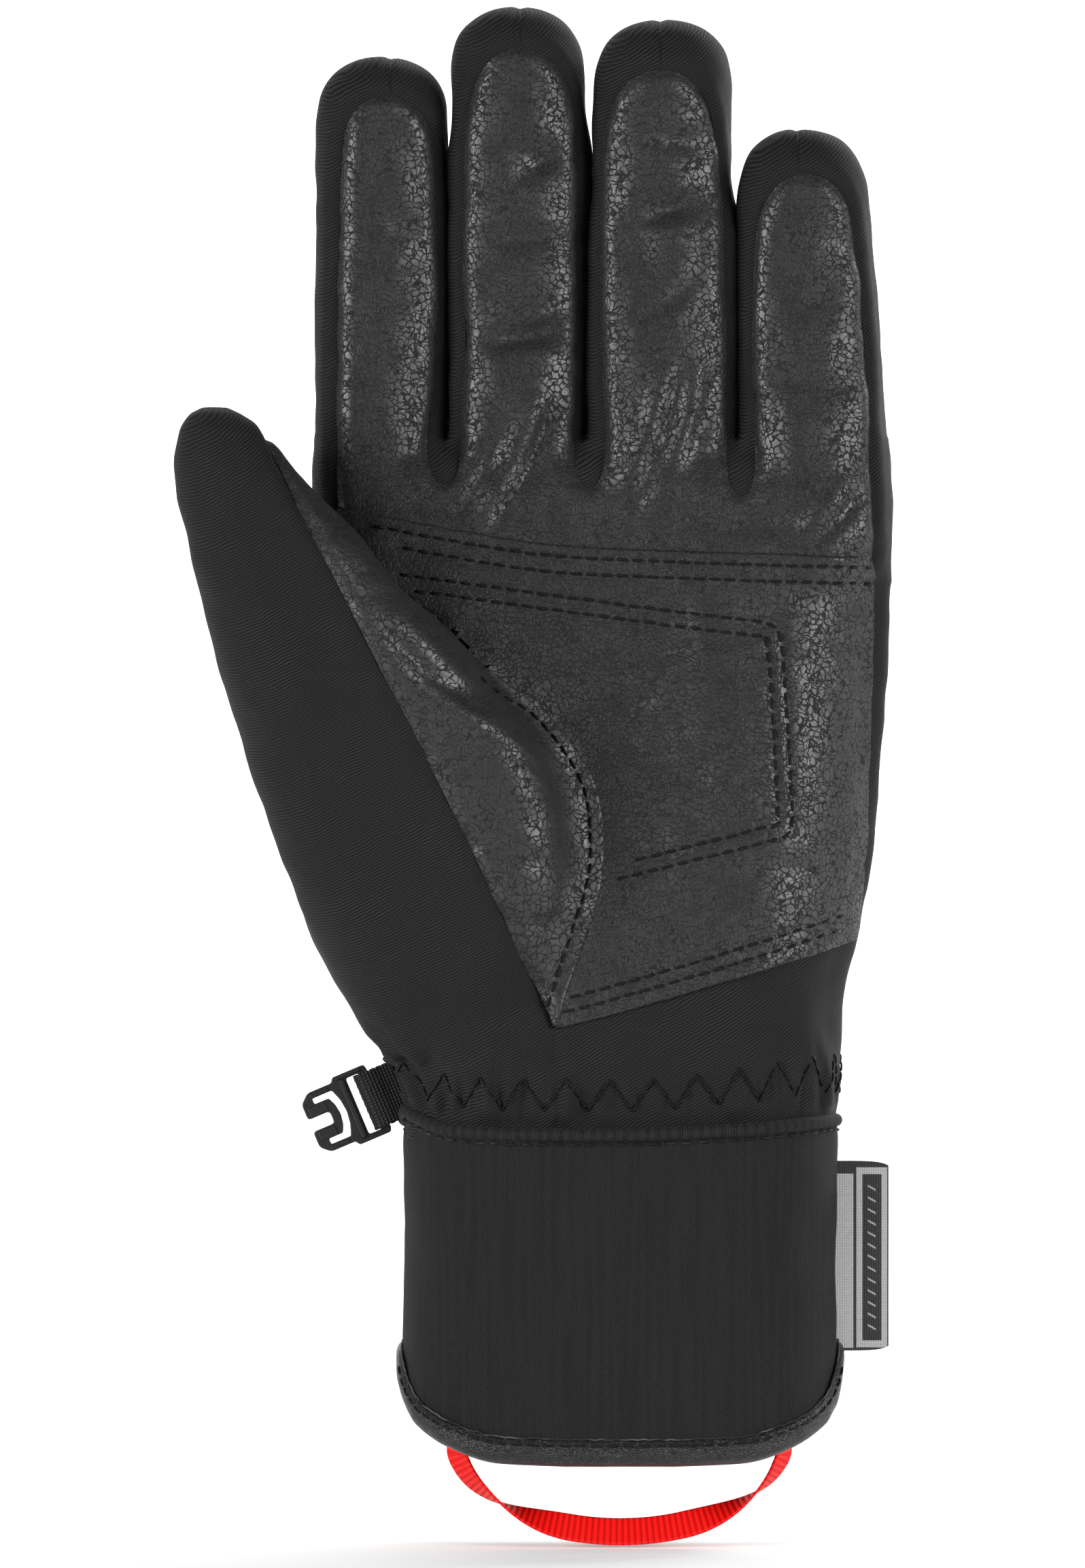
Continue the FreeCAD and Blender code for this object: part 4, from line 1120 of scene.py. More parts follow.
COLUMNS = 130 if QUICK else 260
BINDING, NEOPRENE, CUFF_LINING = 1.3, 3.0, 1.5  # thicknesses
SIDE_GAP = 0.12  # half the joint between the two cuff panels
cuff_objects = {}
for name, start in (("cuff_neoprene_palm_panel", 0.0), ("cuff_neoprene_back_panel", AROUND / 2)):
    s = start + np.linspace(SIDE_GAP, AROUND / 2 - SIDE_GAP, COLUMNS)
    low = hem_level(s) + BINDING + 0.4
    high = seam_level(*round_cuff(s)[0].T) - 1.0
    t = np.linspace(0, 1, COLUMNS // 4)[:, None]
    z = low + (high - low) * t
    ss = np.broadcast_to(s, z.shape)
    off = cuff_relief(ss, z)
    outer = at_cuff(ss, z, off)[0]
    inner = at_cuff(ss, z, off * 0.3 - NEOPRENE)[0]
    rest = np.stack([ss, off * 0, z], -1)
    v, f, rest = shell_between(outer, inner, rest, rest + (0, NEOPRENE, 0))
    cuff_objects[name] = new_object(name, v, f[:, ::-1], rest=rest)

# lining tube in the cuff, and the lining of the hand, closed at the top
s = np.linspace(0, AROUND, COLUMNS, endpoint=False)
SAC_LOW, SAC_TALL, DEEPEST = 64.0, 96, -21.5
LINING_LOW, LINING_HIGH = 3.2, 64.5
for name, rows, depth in (("cuff_lining_tube", 26, (NEOPRENE + 0.3, NEOPRENE + CUFF_LINING - 0.1)),
                          ("hand_lining_sac", 34, (5.2, 6.2))):
    in_cuff = name == "cuff_lining_tube"
    rings = []
    for out, way in zip(depth, (1, -1)):
        for t in np.linspace(0, 1, rows)[::way]:
            low = hem_level(s) + LINING_LOW
            z = low + (LINING_HIGH - low) * t if in_cuff else np.full(len(s), SAC_LOW + SAC_TALL * t)
            shrink = 0.0 if in_cuff else 18.5 * t ** 5
            fold = 0.5 * noise(at_cuff(s, z, 0)[0] * (1, 1, 0.4), 8, 41)
            p, _ = at_cuff(s, z, np.maximum(fold - out - shrink, DEEPEST))
            if not in_cuff:
                p[:, 0] -= 5.0 * t
            rings.append(p)
    v = np.array(rings).reshape(-1, 3)
    f = grid_faces(len(rings), len(s), closed=True)
    if in_cuff:
        last, j = (len(rings) - 1) * len(s), np.arange(len(s))
        k = (j + 1) % len(s)
        f = np.concatenate([f, np.stack([last + j, last + k, k, j], 1)])
    cuff_objects[name] = new_object(name, v, f[:, ::-1])

# the binding: soft leather folded over the hem, five millimetres up each side
s_fine = np.linspace(0, AROUND, 4000, endpoint=False)
line = at_cuff(s_fine, hem_level(s_fine), 0)[0]
length = lengths_along(np.vstack([line, line[:1]]))
COUNT = 420 if QUICK else 840
s_even = np.interp(np.linspace(0, length[-1], COUNT, endpoint=False), length, np.append(s_fine, AROUND))
hem, hem_out = at_cuff(s_even, hem_level(s_even), 0)
along = unit(np.roll(hem, -4, 0) - np.roll(hem, 4, 0))
hem_up = np.cross(hem_out, along)
hem_up *= np.sign(hem_up[:, 2:3] + 1e-9)
hem_up = unit(hem_up)
PROFILE = rounded_line([(-4.2, 5.2), (-5.0, 4.3), (-5.25, 2.5), (-4.5, 0.9), (-2.7, 0.1), (-0.6, 0.05),
                        (0.85, 0.8), (1.4, 2.1), (1.3, 3.6), (0.75, 4.6), (0.1, 4.9), (-0.5, 4.7)], steps=3)
travel = np.linspace(0, length[-1], COUNT, endpoint=False)
profile_at = lengths_along(PROFILE)
crumple = noise(sheet(travel, 0), 7, 51)
rows = []
for (o, u), at in zip(PROFILE, profile_at):
    ripple = 0.16 * noise(sheet(travel, at), 3.2, 52) + 0.2 * crumple
    rows.append(hem + hem_out * (o + ripple * (u > -1))[:, None] + hem_up * u)
v = np.array(rows).reshape(-1, 3)
rest = sheet(travel[None], profile_at[:, None]).reshape(-1, 3)
f = grid_faces(len(PROFILE), COUNT, True)
cuff_objects["hem_binding_roll"] = new_object("hem_binding_roll", v, f, rest=rest)


BINDING_FACE, BINDING_ROW = 1.15, 4.0  # outward to the binding's face, and up to its row of stitches


def on_binding(points):
    """Places on the binding's outer face, by distance along the hem and height above it."""
    steps = [(int(t / length[-1] * COUNT) % COUNT, up) for t, up in points]
    return [(hem[i] + hem_out[i] * BINDING_FACE + hem_up[i] * up, hem_out[i]) for i, up in steps]


binding_row = stitches([np.array([(1.0, BINDING_ROW), (length[-1] - 1.0, BINDING_ROW)])], on_binding,
                       pitch=3.0, long=1.9, thread=0.2)
thread_object("hem_binding_stitching", binding_row, "hand")

# the cut edge of the knit shows as a pale line above the binding
edge_out = 0.35 + 0.12 * noise(hem, 1.2, 53)
edge_up = 5.15 + 0.25 * noise(hem, 1.7, 54)
edge = hem + hem_out * edge_out[:, None] + hem_up * edge_up[:, None]
edge_line = new_object("knit_edge_line", *polyline_tube(edge, 0.2, 5, hem_out, closed=True))
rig.ride(edge_line, "hand")

# welt: a roll of knit in the cuff seam, with its row of stitches
s = np.linspace(0, AROUND, COUNT, endpoint=False)
xy = round_cuff(s)[0]
level = seam_level(*xy.T)
wobble = 0.22 * noise(sheet(*xy.T), 6, 61)
welt = at_cuff(s, level - 1.15 + wobble * 0.5, 0.05 + wobble)
v, f = polyline_tube(welt[0], 1.2, 12, welt[1], closed=True, flatten=0.9)
rest = sheet(s[:, None], np.arange(12) * 0.6).reshape(-1, 3)
cuff_objects["cuff_seam_welt_roll"] = new_object("cuff_seam_welt_roll", v, f, rest=rest)


CUFF_ROW = -3.0  # below the seam


def on_cuff(points):
    """Places on the knit, by distance round the cuff and height above its seam."""
    out = []
    for s, down in points:
        z = float(seam_level(*round_cuff(s)[0]) + down)
        s, z = np.array([s]), np.array([z])
        place, normal = at_cuff(s, z, float(cuff_relief(s, z)[0]))
        out.append((place[0], normal[0]))
    return out


cuff_row = stitches([np.array([(0.6, CUFF_ROW), (AROUND - 0.6, CUFF_ROW)])], on_cuff,
                    pitch=3.0, long=1.7, thread=0.26)
cuff_stitching = thread_object("cuff_seam_stitching", cuff_row, "hand")


# zigzag over the elastic at the wrist
ZIGZAG, WRIST_AWAY = 8.1, 16


def on_wrist(points):
    """Places on the gathered cloth, by distance round the cuff and height above its seam."""
    out = []
    for s, up in points:
        xy, n = round_cuff(s, WRIST_AWAY)
        z = float(seam_level(*round_cuff(s)[0]) + up)
        out.append(struck((*xy, z), (*-n, 0)))
    return out


count = int(AROUND / ZIGZAG)
zigzag = []
for k in range(count):
    a, m, b = (k * AROUND / count, (k + 0.5) * AROUND / count, (k + 1) * AROUND / count)
    x_here = round_cuff(a)[0][0]
    low, high = 3.3 + 0.9 * smooth(0, 35, x_here), 9.2 + 2.0 * smooth(0, 35, x_here)
    zigzag += [np.array([(a, low), (m, high)]), np.array([(m, high), (b, low)])]
zigzag_thread = thread_object("wrist_zigzag_stitching",
                              stitches(zigzag, on_wrist, pitch=2.35, long=2.0, thread=0.22), "hand")

# ------------------------------------------------------------------ label, clip and pull loop
label_low, label_high = (np.array(c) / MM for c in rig.box("side_label"))
LABEL_X, LABEL_Z = label_low[0], label_low[2]
LABEL_ROOT = 2.6  # the part held in the cuff's side
LABEL_WIDE, LABEL_TALL = label_high[0] - LABEL_X, label_high[2] - LABEL_Z
u, w = np.meshgrid(np.linspace(0, 1, 40), np.linspace(0, 1, 110))
# its outer corners are rounded off
at_edge = np.exp(-((1 - u) * LABEL_WIDE / 1.2))
corner = 0.9 * (at_edge * (np.exp(-w * LABEL_TALL / 1.2) - np.exp(-(1 - w) * LABEL_TALL / 1.2)))
x = LABEL_X - LABEL_ROOT + (LABEL_WIDE + LABEL_ROOT) * u
z = LABEL_Z + LABEL_TALL * w + corner
bow = 0.35 * np.sin(w * 5.2 + 0.6) * u + 0.5 * u ** 2 * (w - 0.4)
thick = 0.34 + 0.1 * bell(1 - u, 0.08) - 0.06 * (w > 0.97)
front_face = np.stack([x, bow - thick, z], -1)
back_face = np.stack([x, bow + thick, z], -1)
rest = np.stack([(x - LABEL_X), bow * 0, z - LABEL_Z], -1)
v, f, rest = shell_between(front_face, back_face, rest, rest + (0, 1, 0))
label = new_object("side_label_folded", v, f, rest=rest)

# The clip is made in its own frame: u away from the webbing, w along the bar, then put in place.
clip_joint = JOINT["clip_swing"]
CLIP_AT = np.array(clip_joint["pos_m"]) / MM
BAR = unit(np.array(clip_joint["axis"], float))
AWAY = np.array([-BAR[2], 0, BAR[0]])
FACE = np.array([0, -1.0, 0])


def clip_place(p):
    """Points of the clip's own frame, in the glove's."""
    p = np.asarray(p, float)
    return CLIP_AT + p[:, :1] * AWAY + p[:, 1:2] * BAR + p[:, 2:3] * FACE


def flat_plate(outlines, thick, bevel, lift=0.0):
    """A plate with bevelled edges from closed outlines; outlines inside the first are holes."""
    curve = bpy.data.curves.new("plate", "CURVE")
    curve.dimensions, curve.fill_mode = "2D", "BOTH"
    curve.extrude, curve.bevel_depth, curve.bevel_resolution = thick / 2 - bevel, bevel, 3
    curve.offset = -bevel
    for outline in outlines:
        spline = curve.splines.new("POLY")
        spline.points.add(len(outline) - 1)
        for point, (a, b) in zip(spline.points, outline):
            point.co = (a, b, 0, 1)
        spline.use_cyclic_u = True
    holder = bpy.data.objects.new("plate", curve)
    scene.collection.objects.link(holder)
    bpy.context.view_layer.update()
    mesh = bpy.data.meshes.new_from_object(holder.evaluated_get(bpy.context.evaluated_depsgraph_get()))
    v = np.array([q.co for q in mesh.vertices])
    v[:, 2] += lift
    f = [tuple(q.vertices) for q in mesh.polygons]
    bpy.data.objects.remove(holder)
    bpy.data.curves.remove(curve)
    bpy.data.meshes.remove(mesh)
    return v, f


def soften(points, r):
    """A closed outline with each corner rounded by r."""
    p = np.array(points, float)
    out = []
    for i in range(len(p)):
        a, b, c = p[i - 1], p[i], p[(i + 1) % len(p)]
        da, dc = np.linalg.norm(a - b), np.linalg.norm(c - b)
        k = min(r, 0.49 * da, 0.49 * dc)
        s0, s1 = b + (a - b) / da * k, b + (c - b) / dc * k
        for t in np.linspace(0, 1, 5):
            out.append((1 - t) ** 2 * s0 + 2 * t * (1 - t) * b + t * t * s1)
    return np.array(out)


def mirrored(half):
    return [(a, -b) for a, b in half[::-1]]


def strip(a0, b0, a1, b1, rounding):
    return soften([(a0, b0), (a1, b0), (a1, b1), (a0, b1)], rounding)


HOOK_LONG, HOOK_THICK = 13.2, 2.2
half_hook = [(-0.7, -6.9), (6.0, -6.9), (6.4, -6.0), (11.4, -6.0), (HOOK_LONG, -4.4), (HOOK_LONG, -1.2),
             (8.8, -1.2)]
half_snap = [(6.1, 2.4), (6.9, 4.65), (10.9, 4.65), (10.9, 3.55), (8.0, 3.55), (7.3, 2.0)]
hook_outline = soften(half_hook + mirrored(half_hook), 0.7)
webbing_slot = strip(0.9, -5.7, 3.55, 5.7, 0.5)
snap_slot = soften([(5.8, 0), *half_snap, (7.0, 0), *mirrored(half_snap)], 0.35)
plates = [flat_plate([hook_outline, webbing_slot, snap_slot], HOOK_THICK, 0.22),
          flat_plate([strip(4.0, -5.9, 5.0, 5.9, 0.4)], 0.9, 0.2, HOOK_THICK / 2)]
# raised ribs in pairs: from, to, rounding, thickness, bevel
for a0, b0, a1, b1, rounding, rib_thick, bevel in ((0.4, 6.15, 5.6, 6.6, 0.2, 0.7, 0.12),
                                                   (7.4, 4.95, 11.2, 5.45, 0.22, 0.6, 0.12),
                                                   (8.9, 1.55, 12.4, 3.3, 0.4, 0.55, 0.15)):
    for low, high in ((b0, b1), (-b1, -b0)):
        plates.append(flat_plate([strip(a0, low, a1, high, rounding)], rib_thick, bevel, HOOK_THICK / 2))
bar_v, bar_f = polyline_tube([(0, w, 0) for w in np.linspace(-6.2, 6.2, 20)], 0.8, 14, [(0, 0, 1)] * 20)
hook_verts, hook_faces = [], []
for v, f in plates + [(bar_v, [tuple(q) for q in bar_f])]:
    hook_faces += [tuple(i + sum(len(h) for h in hook_verts) for i in q) for q in f]
    hook_verts.append(v)
hook_verts = np.concatenate(hook_verts)
clip = new_object("clip_buckle_moulded", clip_place(hook_verts), hook_faces, rest=hook_verts,
                  smooth_faces=False)

# webbing folded round the bar, both ends sewn into the cuff seam
half_loop = [(1.3, 1.25), (0, 1.62), (-1.6, 1.5), (-3.4, 0.95), (-6, 0.55), (-9.5, 0.5)]
LOOP = rounded_line([*mirrored(half_loop), (1.85, 0), *half_loop], steps=6)
loop_t = unit(np.gradient(LOOP, axis=0))
loop_n = np.stack([loop_t[:, 1], -loop_t[:, 0]], 1)
loop_s = lengths_along(LOOP)
across = np.linspace(-5.5, 5.5, 34)
YARN = 1.26
weave = np.sign(np.sin(across[None] * 2 * np.pi / YARN + 0.4))
weave = 0.07 * np.sin(loop_s[:, None] * 2 * np.pi / YARN) * weave
edge_wave = 1 + 0.018 * np.sin(loop_s * 2 * np.pi / YARN)


def webbing_face(shift):
    q = LOOP[:, None] + loop_n[:, None] * (shift + (weave * np.sign(shift)))[..., None]
    wide = across[None] * edge_wave[:, None]
    flat_face = np.stack([q[..., 0], wide, q[..., 1]], -1).reshape(-1, 3)
    return clip_place(flat_face).reshape(len(LOOP), len(across), 3)


rest = sheet(loop_s[:, None], across)
v, f, rest = shell_between(webbing_face(0.36), webbing_face(-0.36), rest, rest)
webbing = new_object("clip_webbing_loop", v, f, rest=rest)

# the red ribbon: flat at the seams, turned once on each side of the hanging part
RIBBON_WIDE, RIBBON_THICK, RIB_PITCH = 6.0, 0.5, 1.15
loop_low, loop_high = (np.array(c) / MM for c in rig.box("pull_loop"))
pull_joint = np.array(JOINT["pull_loop_swing"]["pos_m"]) / MM
LOOP_HALF, LOOP_DEEP = 31.0, 17.0
loop_mid = (loop_low[0] + loop_high[0]) / 2
BOTTOM = loop_low[2] + 2.35
hang = []
for a in np.radians(np.linspace(-84, 84, 19)):
    hang.append((loop_mid + LOOP_HALF * math.sin(a), pull_joint[1], BOTTOM + LOOP_DEEP * (1 - math.cos(a))))
tail = [(0.9, -8.6, 15.0), (0.8, -7.6, 11.0), (0.5, -4.6, 7.0), (0.2, -1.6, 3.2)]
left_tail = [(hang[0][0] - dx + 1, hang[0][1] + dy, hang[0][2] + dz) for dx, dy, dz in tail]
right_tail = [(hang[-1][0] + dx - 1, hang[-1][1] + dy, hang[-1][2] + dz) for dx, dy, dz in tail[::-1]]
ribbon = rounded_line(np.array(left_tail + hang + right_tail), steps=14)
rs = lengths_along(ribbon)
tangent = unit(np.gradient(ribbon, axis=0))
side = unit(np.cross(tangent, FACE), 1e-6)
face_on = np.cross(side, tangent)
x_at = ribbon[:, 0] - loop_mid
turn = -52 - 88 * smooth(-33, -9, x_at) + 88 * smooth(12, 36, x_at)
turn = np.radians(turn)[:, None]
wide_dir = side * np.cos(turn) + face_on * np.sin(turn)
thick_dir = np.cross(wide_dir, tangent)
across = np.linspace(-RIBBON_WIDE / 2, RIBBON_WIDE / 2, 15)
rib = 0.05 * np.sin(rs * 2 * np.pi / RIB_PITCH)


def ribbon_face(side_sign):
    inset = np.minimum(1, (RIBBON_WIDE / 2 - np.abs(across[None])) / 0.5)
    lift = side_sign * (RIBBON_THICK / 2 + rib[:, None] * inset)
    return ribbon[:, None] + wide_dir[:, None] * across[None, :, None] + thick_dir[:, None] * lift[..., None]


rest = sheet(rs[:, None], across)
v, f, rest = shell_between(ribbon_face(1), ribbon_face(-1), rest, rest)
pull_loop = new_object("pull_loop_ribbon", v, f, rest=rest)


# ------------------------------------------------------------------ materials
class Nodes:
    """A short way to write a node material."""

    def __init__(self, name, roughness, base=(0.02, 0.02, 0.02), **sockets):
        self.material = bpy.data.materials.new(name)
        self.material.use_nodes = True
        self.tree = self.material.node_tree
        self.shader = self.tree.nodes["Principled BSDF"]
        self.shader.inputs["Base Color"].default_value = (*base, 1)
        self.shader.inputs["Roughness"].default_value = roughness
        for socket, setting in sockets.items():
            self.shader.inputs[socket.replace("_", " ")].default_value = setting
        attribute = self.tree.nodes.new("ShaderNodeAttribute")
        attribute.attribute_name = "rest_co"
        self.place = attribute.outputs["Vector"]

    def add(self, kind, inputs=None, **settings):
        node = self.tree.nodes.new(kind)
        for key, setting in settings.items():
            setattr(node, key, setting)
        for key, setting in (inputs or {}).items():
            socket = node.inputs[key]
            if isinstance(setting, bpy.types.NodeSocket):
                self.tree.links.new(setting, socket)
            else:
                socket.default_value = setting
        return node

    def maths(self, operation, a, b=None, c=None, clamp=False):
        inputs = {0: a}
        if b is not None:
            inputs[1] = b
        if c is not None:
            inputs[2] = c
        return self.add("ShaderNodeMath", inputs, operation=operation, use_clamp=clamp).outputs[0]

    def times(self, a, b):
        return self.maths("MULTIPLY", a, b)

    def fused(self, a, b, c):
        """a times b plus c."""
        return self.maths("MULTIPLY_ADD", a, b, c)

    def scaled(self, vector, by):
        return self.add("ShaderNodeVectorMath", {0: vector, 1: by}, operation="MULTIPLY").outputs[0]

    def moved(self, vector, by):
        return self.add("ShaderNodeVectorMath", {0: vector, 1: by}, operation="ADD").outputs[0]

    def noise(self, vector, scale, detail=3.0, rough=0.55, out="Fac"):
        return self.add("ShaderNodeTexNoise", {"Vector": vector, "Scale": scale, "Detail": detail,
                                               "Roughness": rough}).outputs[out]

    def cracks(self, vector, scale, randomness):
        """Distance from the lines that part irregular cells."""
        return self.add("ShaderNodeTexVoronoi", {"Vector": vector, "Scale": scale, "Randomness": randomness},
                        feature="DISTANCE_TO_EDGE").outputs["Distance"]

    def ramp(self, value, *stops):
        node = self.add("ShaderNodeValToRGB", {"Fac": value})
        elements = node.color_ramp.elements
        while len(elements) < len(stops):
            elements.new(0.5)
        for element, (at, colour) in zip(elements, stops):
            element.position = at
            element.color = (*colour, 1) if isinstance(colour, tuple) else (colour, colour, colour, 1)
        return node.outputs["Color"]

    def mix(self, factor, a, b):
        node = self.add("ShaderNodeMix", {0: factor}, data_type="RGBA")
        for socket, setting in ((node.inputs[6], a), (node.inputs[7], b)):
            if isinstance(setting, bpy.types.NodeSocket):
                self.tree.links.new(setting, socket)
            else:
                socket.default_value = (*setting, 1)
        return node.outputs[2]

    def wave(self, value, pitch):
        """-1 to 1 and back over each pitch."""
        return self.maths("SINE", self.maths("MULTIPLY", value, 2 * math.pi / pitch))

    def ribs(self, value, pitch):
        """0 to 1 and back over each pitch."""
        return self.maths("MULTIPLY_ADD", self.wave(value, pitch), 0.5, 0.5)

    def parts(self, vector):
        return self.add("ShaderNodeSeparateXYZ", {0: vector}).outputs

    def bump(self, height, distance, strength=1.0):
        return self.add("ShaderNodeBump", {"Height": height, "Distance": distance * MM,
                                           "Strength": strength}).outputs["Normal"]

    def finish(self, colour=None, roughness=None, normal=None):
        for socket, setting in (("Base Color", colour), ("Roughness", roughness), ("Normal", normal)):
            if setting is not None:
                self.tree.links.new(setting, self.shader.inputs[socket])
        return self.material


def ink(grey, blue, tone=1.0):
    """A nearly black colour: red and green alike, and its blue."""
    return (tone * grey, tone * grey, tone * blue)


def pebbled_leather(name, cell=1.25, deep=1.0, tone=1.0, contrast=1.0, squeeze=(1, 1, 1)):
    """Flat-topped pebbles parted by narrow creases, some of them split by finer ones; the creases are painted dark,
    partly the grain's own colour and partly painted shade.
    """
    m = Nodes(name, 0.5, Specular_IOR_Level=0.6)
    warp = m.noise(m.place, 0.3, 2.0, out="Color")
    warped = m.moved(m.place, m.scaled(warp, (3.0, 3.0, 3.0)))
    ragged = m.noise(m.place, 1.5, 3.0, out="Color")
    warped = m.scaled(m.moved(warped, m.scaled(ragged, (0.8, 0.8, 0.8))), squeeze)
    edge = m.cracks(warped, 1 / cell, 0.95)
    fine = m.cracks(warped, 2.1 / cell, 1.0)
    cells = m.add("ShaderNodeTexVoronoi", {"Vector": warped, "Scale": 1 / cell, "Randomness": 0.95})
    narrow = m.noise(m.place, 0.55, 2.0)
    edge = m.fused(m.maths("SUBTRACT", narrow, 0.5), 0.16, edge)
    crease = m.ramp(edge, (0.03, 0.0), (0.07, 0.55), (0.12, 1.0))
    share = m.ramp(m.noise(m.place, 0.09, 2.0), (0.42, 0.15), (0.62, 0.75))
    split_pebble = m.ramp(fine, (0.0, 0.0), (0.06, 0.7), (0.12, 1.0))
    cut = m.times(m.maths("SUBTRACT", 1.0, split_pebble), share)
    pebble = m.times(crease, m.fused(cut, -0.75, 1.0))
    pores = m.noise(m.place, 4.5, 3.0, 0.6)
    dome = m.ramp(edge, (0.0, 0.0), (0.12, 0.75), (0.34, 1.0))
    height = m.fused(dome, 0.3, m.fused(pores, 0.1, pebble))
    patchy = m.noise(m.place, 0.11, 3.0)
    tops = m.mix(m.ramp(cells.outputs["Color"], (0.0, 0.0), (1.0, 1.0)),
                 ink(0.0055, 0.0057, tone), ink(0.0085, 0.0088, tone))
    worn = m.mix(m.ramp(patchy, (0.35, 0.0), (0.7, 1.0)), tops, ink(0.0085, 0.0088, tone))
    # The creases and the finer cracks are painted darker than the pebble tops: partly the grain's own darker colour,
    # partly painted shade that stands in for the shadow in them.
    dark = (0.0008 * contrast + (1 - contrast) * tone * 0.006,) * 3
    colour = m.mix(pebble, dark, worn)
    on_top = m.fused(pores, 0.06, 0.34)
    rough = m.fused(m.maths("SUBTRACT", 1.0, pebble), 0.55, on_top)
    rough = m.maths("MULTIPLY_ADD", patchy, 0.08, rough, clamp=True)
    return m.finish(colour, rough, m.bump(height, 0.05 * deep))


def smooth_leather(name):
    m = Nodes(name, 0.4)
    wrinkle = m.cracks(m.scaled(m.place, (1.0, 1.6, 1.0)), 1.5, 1.0)
    lines = m.ramp(wrinkle, (0.0, 0.0), (0.12, 1.0))
    pores = m.noise(m.place, 4.0, 4.0)
    wide = m.noise(m.place, 0.3, 2.0)
    # The wrinkle lines are painted darker than the leather around them: painted shade in the wrinkles.
    colour = m.mix(lines, ink(0.004, 0.0043), m.mix(wide, ink(0.006, 0.0062), ink(0.012, 0.0122)))
    height = m.fused(pores, 0.5, m.fused(lines, 0.4, wide))
    rough = m.fused(pores, 0.2, 0.27)
    return m.finish(colour, rough, m.bump(height, 0.3))


def softshell_cloth(name):
    m = Nodes(name, 0.8, Sheen_Weight=0.03, Sheen_Roughness=0.4, Specular_IOR_Level=0.16)
    x, y, z = m.parts(m.place)
    slant = m.fused(x, 0.5, m.fused(y, 0.3, m.times(z, -0.86)))
    slant = m.fused(m.noise(m.place, 0.2, 2.0), 1.2, slant)
    ribs = m.ribs(slant, 0.56)
    yarn = m.noise(m.place, 3.2, 3.0, 0.7)
    wide = m.noise(m.place, 0.09, 3.0)
    fleck = m.ramp(m.noise(m.place, 1.9, 2.0, 0.5), (0.74, 0.0), (0.8, 1.0))
    # The hollows between the twill's ribs are painted nearly black: painted shade that stands in for the shadow
    # between the ribs.
    base = m.mix(ribs, ink(0.0008, 0.0009), ink(0.022, 0.0224))
    base = m.mix(m.ramp(wide, (0.3, 0.0), (0.7, 0.6)), base, ink(0.0085, 0.0088))
    colour = m.mix(m.times(fleck, 0.25), base, (0.05, 0.05, 0.05))
    height = m.fused(yarn, 0.6, ribs)
    rough = m.fused(yarn, 0.2, 0.66)
    return m.finish(colour, rough, m.bump(height, 0.12))


def knitted(name, pitch=0.36, slant=0.12, tone=1.0):
    m = Nodes(name, 0.85, Sheen_Weight=0.03, Sheen_Roughness=0.4, Specular_IOR_Level=0.14)
    x, _, z = m.parts(m.place)
    across = m.fused(z, slant, x)
    column = m.wave(across, pitch)
    shift = m.times(across, 3.1)
    row = m.maths("SINE", m.fused(z, 2 * math.pi / (pitch * 0.9), shift))
    stitch = m.fused(row, 0.35, m.times(column, 0.65))
    stitch = m.maths("MULTIPLY_ADD", stitch, 0.5, 0.5, clamp=True)
    fuzz = m.noise(m.place, 2.6, 3.0, 0.7)
    streak = m.noise(m.scaled(m.place, (1.0, 1.0, 0.04)), 0.9, 2.0)
    # The gaps between the knitted loops are painted nearly black: painted shade that stands in for the shadow between
    # the loops.
    base = m.mix(stitch, ink(0.0006, 0.0007, tone), ink(0.0185, 0.0189, tone))
    lit = m.times(m.ramp(streak, (0.38, 0.0), (0.62, 1.0)), 0.45)
    base = m.mix(lit, base, ink(0.015, 0.0154, tone))
    height = m.fused(fuzz, 0.5, stitch)
    rough = m.fused(fuzz, 0.2, 0.7)
    return m.finish(base, rough, m.bump(height, 0.1))


def fleece(name):
    m = Nodes(name, 0.95, Sheen_Weight=0.3, Sheen_Roughness=0.4)
    fuzz = m.noise(m.place, 1.4, 5.0, 0.7)
    loops = m.add("ShaderNodeTexVoronoi", {"Vector": m.place, "Scale": 1.1}).outputs["Distance"]
    colour = m.mix(fuzz, ink(0.006, 0.0065), ink(0.02, 0.021))
    rough = m.fused(fuzz, 0.1, 0.88)
    return m.finish(colour, rough, m.bump(m.maths("ADD", fuzz, loops), 0.3, 0.8))


def thread(name, dark, light, pale=0.0):
    m = Nodes(name, 0.7, Specular_IOR_Level=0.18)
    ply = m.add("ShaderNodeTexWave", {"Vector": m.place, "Scale": 1.6, "Distortion": 0.6}, wave_type="BANDS",
                bands_direction="DIAGONAL").outputs["Fac"]
    some = m.ramp(m.noise(m.place, 0.16, 2.0), (0.5, 0.0), (0.62, 1.0))
    colour = m.mix(ply, dark, light)
    if pale:
        colour = m.mix(m.times(some, pale), colour, (0.13, 0.13, 0.13))
    return m.finish(colour, m.fused(ply, 0.2, 0.42), m.bump(ply, 0.06))


def webbing_weave(name):
    cell = 0.63
    m = Nodes(name, 0.7, Specular_IOR_Level=0.3)
    x, y, _ = m.parts(m.place)
    a = m.wave(x, 2 * cell)
    b = m.wave(y, 2 * cell)
    check = m.fused(m.times(a, b), 0.5, 0.5)
    over = m.fused(m.times(m.maths("ABSOLUTE", a), m.maths("ABSOLUTE", b)), 0.8,
                   m.times(check, 0.3))
    fibre = m.noise(m.scaled(m.place, (6, 6, 1)), 1.0, 3.0)
    # Where the yarns dip under each other the weave is painted nearly black: painted shade between the yarns.
    colour = m.mix(over, (0.0015, 0.0015, 0.0015), m.mix(fibre, ink(0.009, 0.0093), ink(0.02, 0.0205)))
    return m.finish(colour, m.fused(fibre, 0.2, 0.5), m.bump(over, 0.22))


